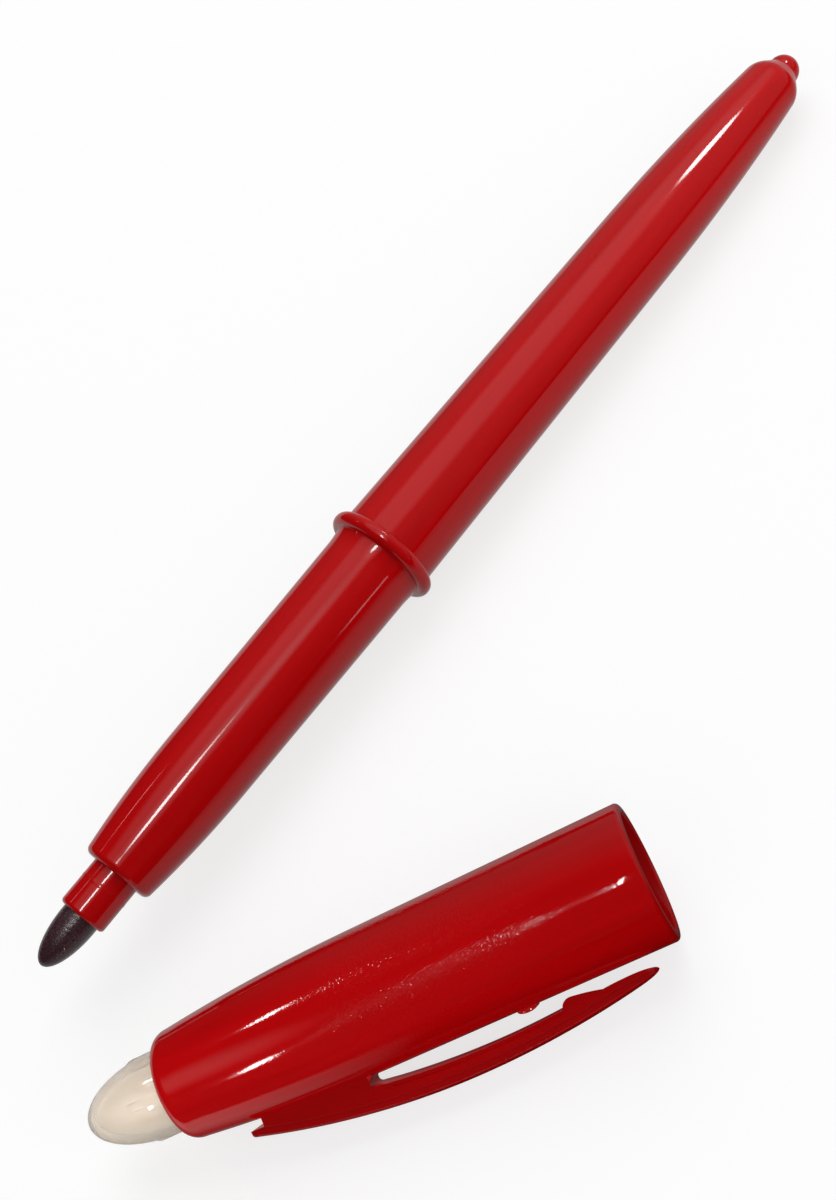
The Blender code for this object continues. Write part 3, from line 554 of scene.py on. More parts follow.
def natural_plastic(name, place):
    """Polypropylene without pigment, injection moulded in a plain tool.

    The eye sees a milky, slightly warm plastic that lets the light and the inner walls shimmer through.
    """
    finish = bpy.context.scene.marker_finish
    cloud_size = 3.0 * MM
    material, tree, output = new_material(name)
    cloud = add(tree, "ShaderNodeTexNoise", {
        "Vector": along_piece(tree, place), "Scale": 1 / cloud_size, "Detail": 3.0})
    rough = add(tree, "ShaderNodeMapRange", {
        "Value": cloud.outputs["Fac"], "From Min": NOISE_LOW, "From Max": NOISE_HIGH, "To Min": 0.04,
        "To Max": 0.08})
    shader = add(tree, "ShaderNodeBsdfPrincipled", {
        "Base Color": finish.milky, "Roughness": rough.outputs["Result"], "IOR": POLYPROPYLENE_IOR,
        "Transmission Weight": 0.72})
    tree.links.new(shader.outputs["BSDF"], output.inputs["Surface"])
    return material


def fibre_bundle(name, place):
    """Polyester fibre drawn into a rod and soaked with ink.

    The eye sees a dull red with fine strands that run along the rod.
    """
    finish = bpy.context.scene.marker_finish
    strand_length, strand_width, strand_height = 12 * MM, 0.15 * MM, 0.02 * MM
    material, tree, output = new_material(name)
    strands = add(tree, "ShaderNodeTexNoise", {
        "Vector": along_piece(tree, place, (strand_length, strand_width, strand_width)), "Scale": 1.0,
        "Detail": 2.0})
    tint = add(tree, "ShaderNodeValToRGB", {"Fac": strands.outputs["Fac"]})
    tint.color_ramp.elements[0].color = finish.red_deep
    tint.color_ramp.elements[1].color = finish.soaked
    skin = add(tree, "ShaderNodeBump", {
        "Strength": 1.0, "Distance": strand_height, "Height": strands.outputs["Fac"]})
    shader = add(tree, "ShaderNodeBsdfPrincipled", {
        "Base Color": tint.outputs["Color"], "Roughness": 0.7, "Normal": skin.outputs["Normal"]})
    tree.links.new(shader.outputs["BSDF"], output.inputs["Surface"])
    return material


def wrapping_film(name, place):
    """Polypropylene film, blown thin and wrapped tight.

    The eye sees a clear skin with soft ripples that blur what lies under it.
    """
    finish = bpy.context.scene.marker_finish
    ripple_length, ripple_width, ripple_height = 6 * MM, 1.2 * MM, 0.03 * MM
    material, tree, output = new_material(name)
    ripples = add(tree, "ShaderNodeTexNoise", {
        "Vector": along_piece(tree, place, (ripple_length, ripple_width, ripple_width)), "Scale": 1.0,
        "Detail": 2.0})
    skin = add(tree, "ShaderNodeBump", {
        "Strength": 1.0, "Distance": ripple_height, "Height": ripples.outputs["Fac"]})
    shader = add(tree, "ShaderNodeBsdfPrincipled", {
        "Base Color": finish.film, "Roughness": 0.15, "IOR": POLYPROPYLENE_IOR, "Transmission Weight": 0.9,
        "Normal": skin.outputs["Normal"]})
    tree.links.new(shader.outputs["BSDF"], output.inputs["Surface"])
    return material


def shared(maker, name, place, **grain):
    """The material of that name, made once."""
    return bpy.data.materials.get(name) or maker(name, place, **grain)


def pen_red():
    """Red of the pen, whose tool is polished well."""
    return shared(moulded_red, "pen_red_polypropylene", PEN, peel_height=0.0008 * MM, peel_size=0.40 * MM,
                  peel_middle=20 * MM, peel_reach=80 * MM)


def cap_red():
    """Red of the cap, with a fine grain round the middle of its length."""
    return shared(moulded_red, "cap_red_polypropylene", CAP, peel_height=0.028 * MM, peel_size=0.24 * MM,
                  peel_middle=-20 * MM, peel_reach=14 * MM)


class MARKER_OT_rear_barrel(bpy.types.Operator):
    """Turn the rear barrel, from under the ring to the spigot inside the tail cap"""

    bl_idname = "marker.rear_barrel"
    bl_label = "Rear Barrel"

    def execute(self, context):
        pen, point = context.scene.marker_pen, context.scene.marker_points
        front = pen.ring_width / 3
        socket = pen.spigot_radius + PLAY
        stop = point.fine_plug_start - END_PLAY
        outline = [(-front, socket), (-pen.spigot_end, socket), (-pen.spigot_end, pen.bore),
                   (-stop, pen.bore), (-stop, point.fine_bore), (-pen.tail_spigot_end, point.fine_bore),
                   (-pen.tail_spigot_end, pen.tail_spigot_radius), (-pen.seam, pen.tail_spigot_radius)]
        outline += [(-b, barrel_radius(pen, b)) for b in spread(pen.seam, pen.barrel_bend, 12)]
        outline += [(-b, barrel_radius(pen, b)) for b in spread(pen.barrel_bend, front, 24)[1:]]
        bm = turned(outline, closed=True)
        obj = new_piece("rear_barrel", bm, PEN, pen_red(), ["barrel"])
        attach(obj, "barrel")
        return {"FINISHED"}


class MARKER_OT_front_barrel(bpy.types.Operator):
    """Turn the front section with its ring, flare, rounded shoulder and spigot"""

    bl_idname = "marker.front_barrel"
    bl_label = "Front Section and Ring"

    def execute(self, context):
        pen, point = context.scene.marker_pen, context.scene.marker_points
        side = pen.ring_width / 2
        edge_start = pen.front_length - pen.shoulder_edge
        wall = pen.front_length - point.plug_front
        hole = point.neck_radius + NECK_PLAY
        pocket = point.plug_radius + PLAY
        outline = [(-pen.spigot_end, pen.bore), (-pen.spigot_end, pen.spigot_radius),
                   (-side, pen.spigot_radius)]
        edge = pen.ring_edge
        outline += arc(edge - side, pen.ring_radius - edge, edge, edge, 180, 90, 8)
        outline += arc(side - edge, pen.ring_radius - edge, edge, edge, 90, 0, 8)
        flare_end = side + pen.flare_length
        outline += [(x, front_radius(pen, x)) for x in spread(side, flare_end, 8)]
        outline += [(x, front_radius(pen, x)) for x in spread(flare_end, pen.front_bend, 14)[1:]]
        outline += [(x, front_radius(pen, x)) for x in spread(pen.front_bend, edge_start, 12)[1:-1]]
        outline += arc(edge_start, front_radius(pen, edge_start) - pen.shoulder_edge, pen.shoulder_edge,
                       pen.shoulder_edge, 90, 0, 10)
        outline += [(pen.front_length, hole), (pen.front_length - wall, hole),
                    (pen.front_length - wall, pocket), (point.plug_rear, pocket), (point.plug_rear, pen.bore)]
        bm = soften(turned(outline, closed=True), EDGE)
        obj = new_piece("front_barrel", bm, PEN, pen_red(), ["front_section"])
        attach(obj, "barrel")
        return {"FINISHED"}


class MARKER_OT_broad_point(bpy.types.Operator):
    """Turn the neck with its plug and the bullet nib that it holds"""

    bl_idname = "marker.broad_point"
    bl_label = "Broad Point"

    def execute(self, context):
        point = context.scene.marker_points
        bore = point.nib_radius + NIB_PLAY
        half = point.bead_width / 2
        bead_start, bead_end = point.neck_bead - half, point.neck_bead + half
        outline = [(point.plug_rear, bore), (point.plug_rear, point.plug_radius),
                   (point.plug_front, point.plug_radius), (point.plug_front, point.neck_radius)]
        for x in spread(bead_start, bead_end, 10):
            lift = cos((x - point.neck_bead) / half * pi / 2) ** 2
            outline.append((x, point.neck_radius + point.bead_height * lift))
        outline += arc(point.neck_end - point.neck_edge, point.neck_radius - point.neck_edge, point.neck_edge,
                       point.neck_edge, 90, 0, 8)
        outline += [(point.neck_end, bore)]
        bm = soften(turned(outline, closed=True), POINT_EDGE)
        neck = new_piece("nib_neck", bm, PEN, pen_red(), ["broad_nib_holder"])
        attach(neck, "barrel")

        outline = [(point.nib_tail, 0.0), (point.nib_tail, point.nib_tail_radius),
                   (point.plug_rear, point.nib_tail_radius), (point.plug_rear, point.nib_radius)]
        outline += arc(point.nib_widest, 0, point.nib_tip - point.nib_widest, point.nib_radius, 90, 0, 32)
        bm = turned(outline, closed=False)
        fibre = shared(inked_fibre, "inked_fibre", PEN)
        nib = new_piece("bullet_nib", bm, PEN, fibre, ["broad_nib"])
        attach(nib, "barrel")
        return {"FINISHED"}


def tail_outline(pen):
    """Outline of the tail's end: rounded off to a short cone, hollow at the nub's foot, then the nub."""
    cone = radians(36)
    start, edge, hollow, nub = pen.tail_edge_start, pen.tail_edge, pen.nub_fillet, pen.nub_radius
    lean = atan2(barrel_radius(pen, start - MM) - barrel_radius(pen, start), MM)
    middle_at, middle_radius = start - edge * sin(lean), barrel_radius(pen, start) - edge * cos(lean)
    outline = [(-middle_at - edge * sin(a), middle_radius + edge * cos(a)) for a in spread(lean, cone, 14)]
    foot = nub + hollow * (1 - cos(cone))
    foot_at = -outline[-1][0] + (outline[-1][1] - foot) / tan(cone) + hollow * sin(cone)
    outline += [(-foot_at + hollow * sin(a), nub + hollow * (1 - cos(a))) for a in spread(cone, 0, 8)]
    return outline + arc(nub - pen.nub_end, 0, nub, nub, 90, 180, 16)


class MARKER_OT_tail_end(bpy.types.Operator):
    """Turn the tapered tail cap with its nub, and the liner inside it"""

    bl_idname = "marker.tail_end"
    bl_label = "Tail Cap"

    def execute(self, context):
        pen, point = context.scene.marker_pen, context.scene.marker_points
        mouth = pen.seam + pen.seam_gap
        pocket = point.liner_radius + PLAY
        bore_end = point.liner_end + END_PLAY
        step = point.liner_flange_end + END_PLAY
        outline = [(-bore_end, 0.0), (-bore_end, pocket), (-step, pocket), (-step, pen.tail_bore),
                   (-mouth, pen.tail_bore)]
        outline += [(-b, barrel_radius(pen, b)) for b in spread(mouth, pen.tail_edge_start, 24)[:-1]]
        outline += tail_outline(pen)
        bm = turned(outline, closed=False)
        tail = new_piece("tail_end", bm, PEN, pen_red(), ["tail_cap"])
        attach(tail, "tail_cap")

        flange = pen.tail_bore - PLAY
        floor = point.liner_end - point.liner_wall
        outline = [(-floor, 0.0), (-floor, point.liner_bore), (-point.liner_start, point.liner_bore),
                   (-point.liner_start, flange), (-point.liner_flange_end, flange),
                   (-point.liner_flange_end, point.liner_radius), (-point.liner_end, point.liner_radius),
                   (-point.liner_end, 0.0)]
        bm = soften(turned(outline, closed=False), HIDDEN_EDGE)
        liner = new_piece("tail_liner", bm, PEN, shared(natural_plastic, "pen_natural_polypropylene", PEN),
                          ["tail_cap_liner"])
        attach(liner, "tail_cap")
        return {"FINISHED"}


class MARKER_OT_fine_point(bpy.types.Operator):
    """Turn the fine point's plug with its tapered neck, and its slim nib"""

    bl_idname = "marker.fine_point"
    bl_label = "Fine Point"

    def execute(self, context):
        point = context.scene.marker_points
        bore = point.fine_nib_radius + NIB_PLAY
        outline = [(-point.fine_plug_start, bore), (-point.fine_plug_start, point.fine_plug_radius),
                   (-point.flange_start, point.fine_plug_radius), (-point.flange_start, point.flange_radius),
                   (-point.flange_end, point.flange_radius), (-point.flange_end, point.fine_neck_radius),
                   (-point.fine_neck_end, point.fine_neck_radius),
                   (-point.fine_cone_end, point.fine_cone_radius), (-point.fine_cone_end, bore)]
        bm = soften(turned(outline, closed=True), HIDDEN_EDGE)
        neck = new_piece("fine_neck", bm, PEN, pen_red(), ["fine_nib_holder"])
        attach(neck, "barrel")

        taper_start = point.fine_nib_tip - point.fine_taper
        outline = [(-point.fine_nib_tail, 0.0), (-point.fine_nib_tail, point.fine_nib_radius),
                   (-taper_start, point.fine_nib_radius)]
        outline += arc(-(point.fine_nib_tip - point.fine_tip_radius), 0, point.fine_tip_radius,
                       point.fine_tip_radius, 90, 180, 10)
        bm = soften(turned(outline, closed=False), POINT_EDGE)
        fibre = shared(inked_fibre, "inked_fibre", PEN)
        nib = new_piece("fine_tip", bm, PEN, fibre, ["fine_nib"])
        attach(nib, "barrel")
        return {"FINISHED"}


class MARKER_OT_reservoir(bpy.types.Operator):
    """Dress the fibre reservoir and its film, whose solids stay as they are"""

    bl_idname = "marker.reservoir"
    bl_label = "Reservoir and Sleeve"

    def execute(self, context):
        dressed = {
            "ink_reservoir": (fibre_bundle, "soaked_fibre"),
            "reservoir_sleeve": (wrapping_film, "clear_film"),
        }
        for name, (maker, slot) in dressed.items():
            node = frame["nodes"][name]
            node.data.materials.clear()
            node.data.materials.append(shared(maker, slot, PEN))
        return {"FINISHED"}


def clip_outer(clip, inward):
    """Outer edge of the clip, which drops from its apex to the tip and to the tail."""
    if inward < clip.apex:
        return bowed(inward, clip.apex, clip.apex_radius, clip.tip, clip.tip_drop)
    return bowed(inward, clip.apex, clip.apex_radius, clip.tail, clip.tail_drop)


def clip_width(clip, inward):
    """Half the width of the clip's bar, which narrows towards the tip and is rounded off at both ends."""
    nose_rounding, tail_rounding = 0.7, 0.4
    free = min(max((clip.web_front - inward) / (clip.web_front - clip.tip), 0.0), 1.0)
    half = clip.half_width + (clip.tip_half_width - clip.half_width) * free ** 2
    nose = max((clip.tip + clip.tip_nose - inward) / clip.tip_nose, 0.0)
    tail = max((inward - clip.tail + clip.tail_nose) / clip.tail_nose, 0.0)
    return half * (1 - nose_rounding * nose ** 3) * (1 - tail_rounding * tail ** 3)


def nose_share(clip, inward):
    """How far a place lies along the clip's nose, from 0 where it starts to 1 at the tip."""
    nose_start = clip.bump_at - clip.bump_run
    return max((nose_start - inward) / (nose_start - clip.tip), 0.0)


def nose_taper(clip, inward):
    """Height of the nose before its end is rounded."""
    height_lost = 0.45
    return clip.tip_thickness * (1 - height_lost * nose_share(clip, inward) ** 1.5)


def arm_height(clip, inward):
    """Height of the free arm: even at first, then a bump that grips a pocket, then a tapered nose."""
    arm_start = clip.bump_at + clip.bump_rise
    nose_start = clip.bump_at - clip.bump_run
    if inward <= nose_start:
        return nose_taper(clip, inward) * sqrt(1 - nose_share(clip, inward) ** 8)
    at = max(inward, arm_start)
    height = clip_outer(clip, at) - bowed(at, clip.arm_apex, clip.arm_radius, clip.web_front, clip.arm_drop)
    if inward >= arm_start:
        return height
    past = inward - clip.bump_at
    along = (inward - nose_start) / (arm_start - nose_start)
    swell = sqrt(1 - (past / clip.bump_rise) ** 2) if past > 0 else 1 - (-past / clip.bump_run) ** 1.3
    return clip.tip_thickness + (height - clip.tip_thickness) * along + clip.bump_height * swell


def clip_top(clip, inward):
    """Top of the clip, which follows its outer edge and rounds off over the tip."""
    share_on_top = 0.35
    if inward >= clip.bump_at - clip.bump_run:
        return clip_outer(clip, inward)
    return clip_outer(clip, inward) - share_on_top * (nose_taper(clip, inward) - arm_height(clip, inward))


def slot_radius(clip, cap):
    """Rounding of the slot where the arm leaves the web."""
    edge = clip_outer(clip, clip.web_front) - arm_height(clip, clip.web_front)
    return (edge - cap_radius(cap, clip.web_front)) / 2


def clip_bottom(clip, cap, inward, under):
    """Inner edge of the clip: round in the notch, sunk in the shell at the web, round at the slot's end."""
    skin = 0.01 * MM            # least height under the bar
    slot = slot_radius(clip, cap)
    before = clip.web_rear + clip.notch_edge - inward
    past = inward - clip.web_front
    if before <= 0:
        return under - skin
    if before < clip.notch_edge:
        return under - skin - clip.notch_edge + sqrt(clip.notch_edge ** 2 - before ** 2)
    if past > slot:
        return cap_radius(cap, inward) - clip.web_sink
    if past > 0:
        return cap_radius(cap, clip.web_front) + slot + sqrt(slot ** 2 - past ** 2)
    return clip_top(clip, inward) - arm_height(clip, inward)


def clip_section(clip, cap, inward):
    """Section across the clip: a crowned bar on a wider rib with a set-back flange at its inner edge."""
    fade = 0.5 * MM             # length over which the flange fades out
    tail_end = 0.985            # share of the tail's rounding at which the clip stops
    nose_bar = 0.6              # share of the nose's height that is bar
    ridge_edge, least_round = 0.05 * MM, 0.001 * MM
    top = clip_top(clip, inward)
    width = clip_width(clip, inward)
    lip_start = clip.web_rear + clip.notch_edge
    lip = max((inward - lip_start) / (clip.tail - lip_start), 0.0)
    bar = clip.bar + (clip.tail_thickness - clip.bar) * lip
    to_tail = (inward - clip.tail + clip.tail_nose) / clip.tail_nose
    if to_tail > 0:
        left = sqrt(1 - min(to_tail, tail_end) ** 2)
        top -= bar / 2 * (1 - left)
        bar *= left
    if inward < clip.bump_at:
        bar = min(bar, nose_bar * arm_height(clip, inward))
    under = top - bar
    bottom = clip_bottom(clip, cap, inward, under)

    ahead = (clip.web_front - 2 * fade - inward) / fade
    behind = (inward - clip.bump_at - clip.bump_rise) / fade
    set_back = min(max(min(ahead, behind), 0.0), 1.0)
    flange = width - clip.flange_depth * set_back
    ridge = bottom + min(clip.flange, (under - bottom) / 3)
    rib_round = min(clip.rib_edge, (ridge - bottom) / 3)
    ridge_round = ridge_edge * set_back + least_round
    step = min(clip.bar_step, width / 8)
    step_round = min(0.8 * step, (under - bottom) / 4)
    outer_round = min(clip.upper_edge, bar / 2)
    crown = min(clip.crown, bar / 6)
    right = arc(flange - rib_round, bottom + rib_round, rib_round, rib_round, 270, 360, 4)
    right += [(flange, ridge - rib_round)]
    right += arc(width - ridge_round, ridge + ridge_round, ridge_round, ridge_round, 280, 360, 3)
    right += arc(width - step_round, under - step_round, step_round, step_round, 0, 80, 4)
    right += [(width - step, under)]
    side = width - step
    right += arc(side - outer_round, top - crown - outer_round, outer_round, outer_round, 0, 80, 6)
    right += [(width / 3, top - crown / 9)]
    left_side = [(-y, z) for y, z in reversed(right)]
    draft = tan(NOSE_DRAFT) * min(max(-behind, 0.0), 1.0)
    section = []
    for y, z in right + left_side:
        depth = max((under - z) / (under - bottom), 0.0)
        section.append((-inward, y, z + draft * depth * (width - y)))
    return section


def slot_foot(clip, cap):
    """Outline that rounds the slot's end down into the shell."""
    overlap = 0.3 * MM
    slot = slot_radius(clip, cap)
    wall = clip.web_front + slot
    surface = cap_radius(cap, wall)
    sunk = surface - cap.wall / 2
    outline = [(-wall - overlap, sunk), (-wall - overlap, surface + slot)]
    outline += arc(-clip.web_front, surface + slot, slot, slot, 180, 268, 8)
    return outline + [(-clip.web_front, sunk)]


class MARKER_OT_cap_body(bpy.types.Operator):
    """Turn the cap's shell and add the small tooth and the rounded end of the slot"""

    bl_idname = "marker.cap_body"
    bl_label = "Cap Shell"

    def execute(self, context):
        cap, clip = context.scene.marker_cap, context.scene.marker_clip
        edge_start = cap.end - cap.end_edge
        bore = cap.radius - cap.wall
        outline = arc(-cap.lip_edge, cap.radius - cap.lip_edge, cap.lip_edge, cap.lip_edge, 0, 90, 8)
        outline += [(-u, cap_radius(cap, u)) for u in spread(cap.lip_edge, cap.bend, 14)[1:]]
        outline += [(-u, cap_radius(cap, u)) for u in spread(cap.bend, edge_start, 16)[1:-1]]
        rim = cap.dome_hole + cap.end_rim
        outline += arc(-edge_start, rim, cap.end_edge, cap_radius(cap, edge_start) - rim, 90, 180, 14)
        outline += [(-cap.end, cap.dome_hole), (-cap.step, cap.dome_hole)]
        outline += [(-u, cap_radius(cap, u) - cap.wall) for u in spread(cap.step, cap.bend, 8)]
        outline += [(-cap.lip_chamfer, bore), (0.0, bore + cap.lip_chamfer)]
        bm = soften(turned(outline, closed=True), EDGE)

        half = cap.pip_length / 2
        sunk = cap_radius(cap, cap.pip_at) - cap.wall / 2
        outline = [(-cap.pip_at + half, sunk)]
        outline += arc(-cap.pip_at, cap_radius(cap, cap.pip_at), half, cap.pip_height, 0, 180, 16)
        outline += [(-cap.pip_at - half, sunk)]
        add_plate(bm, outline, cap.pip_half_width)
        add_plate(bm, slot_foot(clip, cap), clip_width(clip, clip.web_front) - clip.foot_inset)
        obj = new_piece("cap_body", bm, CAP, cap_red(), ["cap_shell"])
        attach(obj, "cap")
        return {"FINISHED"}


class MARKER_OT_pocket_clip(bpy.types.Operator):
    """Loft the bowed clip with its web, rib, bump and lip as one moulding, fixed in place here, though the real
    one flexes ahead of the web
    """

    bl_idname = "marker.pocket_clip"
    bl_label = "Pocket Clip"

    def execute(self, context):
        cap, clip = context.scene.marker_cap, context.scene.marker_clip
        wall = 0.005 * MM       # half the run of the web's two upright ends
        notch, slot = clip.notch_edge, slot_radius(clip, cap)
        tail_start = clip.tail - clip.tail_nose
        slot_end = clip.web_front + slot
        arm_start = clip.bump_at + clip.bump_rise
        nose_start = clip.bump_at - clip.bump_run
        # Angles stop short of a right angle, so that no two sections fall together
        places = [tail_start + clip.tail_nose * sin(radians(a)) for a in spread(80, 0, 8)]
        places += spread(tail_start, clip.web_rear + notch, 4)[1:]
        places += [clip.web_rear + notch * (1 - sin(radians(a))) for a in spread(0, 85, 8)[1:]]
        places += [clip.web_rear + wall]
        places += spread(clip.web_rear - wall, slot_end + wall, 24)
        places += [clip.web_front + slot * sin(radians(a)) for a in spread(89, 0, 9)]
        places += spread(clip.web_front, arm_start, 48)[1:]
        places += [clip.bump_at + clip.bump_rise * cos(radians(a)) for a in spread(0, 90, 12)[1:]]
        places += spread(clip.bump_at, nose_start, 14)[1:]
        places += [nose_start - (nose_start - clip.tip) * sin(radians(a)) for a in spread(0, 86, 22)[1:]]
        bm = lofted([clip_section(clip, cap, u) for u in places])
        obj = new_piece("pocket_clip", bm, CAP, cap_red(), ["clip"])
        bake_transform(obj)
        return {"FINISHED"}


def raise_ribs(bm, cap):
    """Lift four rounded vent ribs, a quarter turn apart, out of the dome where it leaves the shell."""
    margin = 0.5 * MM
    for vert in bm.verts:
        inward, radius = -vert.co.x, hypot(vert.co.y, vert.co.z)
        across = min(abs(vert.co.y), abs(vert.co.z)) / (cap.rib_width / 2)
        along = (cap.rib_end - inward) / cap.rib_slope
        outside = inward > cap.end - margin and cap.cup_bore + margin < radius < cap.rib_radius
        if outside and across < 1 and along > 0:
            lift = (1 - across ** 4) * min(along, 1.0)
            vert.co.yz *= 1 + (cap.rib_radius / radius - 1) * lift


class MARKER_OT_cap_dome(bpy.types.Operator):
    """Turn the milky cup whose dome stands out of the cap's end, and raise its vent ribs"""

    bl_idname = "marker.cap_dome"
    bl_label = "Inner Cup and Dome"

    def execute(self, context):
        cap = context.scene.marker_cap
        flange = cap_radius(cap, cap.step) - cap.wall - PLAY
        inner_length = cap.dome_end - cap.dome_wall - cap.dome_start
        outline = arc(-cap.dome_start, 0, inner_length, cap.cup_bore, 180, 90, 24)
        outline += [(-cap.cup_mouth, cap.cup_bore), (-cap.cup_mouth, flange), (-cap.flange_end, flange),
                    (-cap.flange_end, cap.dome_radius), (-cap.end, cap.dome_radius)]
        outline += arc(-cap.dome_start, 0, cap.dome_end - cap.dome_start, cap.dome_radius, 90, 180, 56)
        bm = soften(turned(outline, closed=False, steps=2 * TURN_STEPS), cap.cup_edge)
        raise_ribs(bm, cap)
        obj = new_piece("cap_dome", bm, CAP, shared(natural_plastic, "cap_natural_polypropylene", CAP),
                        ["inner_cap"])
        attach(obj, "cap")
        return {"FINISHED"}


def floor_paper(name):
    """Matt white paper under soft light.

    The eye sees plain white with the marker's soft shadow on it. A glow lifts the paper to white where it is
    looked at, straight or through the dome. In reflections the paper is swapped for a glow of its own, a painted
    reflection: pale behind and under the pen, dimmer in front of it and fading out into the room, with painted
    shade round the cap's mouth, and a strip in front of the cap painted brighter from the slot towards the dome.
    """
    stage = bpy.context.scene.marker_stage
    # Painted reflection of the paper: full out to lit from the middle, faded beyond unlit, with painted shade
    # round a point before the cap's mouth
    lit, unlit = 70 * MM, 100 * MM
    shade_middle = CAP @ Vector((8 * MM, 0, 0)) - Vector((0, 27 * MM, 0))
    shade_inner, shade_outer = 35 * MM, 60 * MM
    pen_front, front_start, front_full = PEN.col[1].xyz, 1 * MM, 8 * MM
    cap_axis = CAP.col[0].xyz
    cap_front = Vector((cap_axis.y, -cap_axis.x, 0))
    # Painted reflection: a strip of paper before the cap, brighter from the slot towards the dome; then the shares
    # of the glow left far off, round the mouth and off the strip
    strip_dark, strip_bright = -28 * MM, -62 * MM
    strip_middle, strip_full, strip_end = 18 * MM, 5 * MM, 12 * MM
    left_far, left_at_mouth, left_off_strip = 0.1, 0.15, 0.05
    material, tree, output = new_material(name)
    place = add(tree, "ShaderNodeTexCoord").outputs["Object"]
    from_middle = add(tree, "ShaderNodeVectorMath", {0: place, 1: (0, 0, 0)}, operation="DISTANCE")
    from_shade = add(tree, "ShaderNodeVectorMath", {0: place, 1: (*shade_middle.xy, 0)}, operation="DISTANCE")
    from_pen = add(tree, "ShaderNodeVectorMath", {0: place, 1: PEN.translation}, operation="SUBTRACT")
    ahead = add(tree, "ShaderNodeVectorMath", {
        0: from_pen.outputs["Vector"], 1: pen_front}, operation="DOT_PRODUCT")
    reach = add(tree, "ShaderNodeMapRange", {
        "Value": from_middle.outputs["Value"], "From Min": unlit, "From Max": lit, "To Min": left_far,
        "To Max": 1.0}, interpolation_type="SMOOTHSTEP")
    out_of_painted_shade = add(tree, "ShaderNodeMapRange", {
        "Value": from_shade.outputs["Value"], "From Min": shade_inner, "From Max": shade_outer,
        "To Min": left_at_mouth})
    path = add(tree, "ShaderNodeLightPath")
    straight = add(tree, "ShaderNodeMath", {
        0: path.outputs["Is Camera Ray"], 1: stage.floor_glow}, operation="MULTIPLY")
    lift = add(tree, "ShaderNodeMath", {
        0: straight.outputs["Value"], 1: path.outputs["Is Transmission Ray"]}, operation="MAXIMUM")
    paper = add(tree, "ShaderNodeBsdfDiffuse", {"Color": stage.floor})
    glow = add(tree, "ShaderNodeEmission", {"Strength": lift.outputs["Value"]})
    both = add(tree, "ShaderNodeAddShader", {0: paper.outputs["BSDF"], 1: glow.outputs["Emission"]})
    shown = add(tree, "ShaderNodeMath", {
        0: reach.outputs["Result"], 1: out_of_painted_shade.outputs["Result"]}, operation="MULTIPLY")
    dim = add(tree, "ShaderNodeMath", {0: shown.outputs["Value"], 1: stage.painted_front_sheen}, operation="MULTIPLY")
    sheen = add(tree, "ShaderNodeMapRange", {
        "Value": ahead.outputs["Value"], "From Min": front_start, "From Max": front_full,
        "To Min": stage.painted_back_sheen, "To Max": dim.outputs["Value"]}, interpolation_type="SMOOTHSTEP")
    from_cap = add(tree, "ShaderNodeVectorMath", {0: place, 1: CAP.translation}, operation="SUBTRACT")
    along = add(tree, "ShaderNodeVectorMath", {
        0: from_cap.outputs["Vector"], 1: cap_axis}, operation="DOT_PRODUCT")
    before = add(tree, "ShaderNodeVectorMath", {
        0: from_cap.outputs["Vector"], 1: cap_front}, operation="DOT_PRODUCT")
    beside = add(tree, "ShaderNodeMath", {0: before.outputs["Value"], 1: strip_middle}, operation="SUBTRACT")
    off_strip = add(tree, "ShaderNodeMath", {0: beside.outputs["Value"]}, operation="ABSOLUTE")
    strip = add(tree, "ShaderNodeMapRange", {
        "Value": off_strip.outputs["Value"], "From Min": strip_end, "From Max": strip_full,
        "To Min": left_off_strip, "To Max": 1.0}, interpolation_type="SMOOTHSTEP")
    dome_side = add(tree, "ShaderNodeMapRange", {
        "Value": along.outputs["Value"], "From Min": strip_dark, "From Max": strip_bright,
        "To Max": strip.outputs["Result"]})
    painted_reflection_level = add(tree, "ShaderNodeMapRange", {
        "Value": before.outputs["Value"], "From Max": front_full, "To Min": sheen.outputs["Result"],
        "To Max": dome_side.outputs["Result"]}, interpolation_type="SMOOTHSTEP")
    # What gloss sees instead of the paper: a glow with a painted pattern, not light that falls on the paper
    painted_reflection = add(tree, "ShaderNodeEmission", {"Strength": painted_reflection_level.outputs["Result"]})
    surface = add(tree, "ShaderNodeMixShader", {
        0: path.outputs["Is Glossy Ray"], 1: both.outputs["Shader"], 2: painted_reflection.outputs["Emission"]})
    tree.links.new(surface.outputs["Shader"], output.inputs["Surface"])
    return material


def from_angles(azimuth, elevation):
    """Direction at an azimuth from +X and an elevation above the floor, in degrees."""
    a, e = radians(azimuth), radians(elevation)
    return Vector((cos(a) * cos(e), sin(a) * cos(e), sin(e)))


def aim(obj, place, target):
    """Put a lamp or camera in its place and turn it to its target."""
    obj.location = place
    obj.rotation_euler = (target - place).to_track_quat("-Z", "Y").to_euler()


def soft_lamp(name, target, azimuth, elevation, distance, width, height, energy):
    """A rectangular lamp at a distance and direction from what it lights."""
    data = bpy.data.lights.new(name, "AREA")
    data.shape = "RECTANGLE"
    data.size = width
    data.size_y = height
    data.energy = energy
    lamp = bpy.data.objects.new(name, data)
    bpy.context.scene.collection.objects.link(lamp)
    aim(lamp, target + from_angles(azimuth, elevation) * distance, target)
    lamp.visible_camera = False
    return lamp


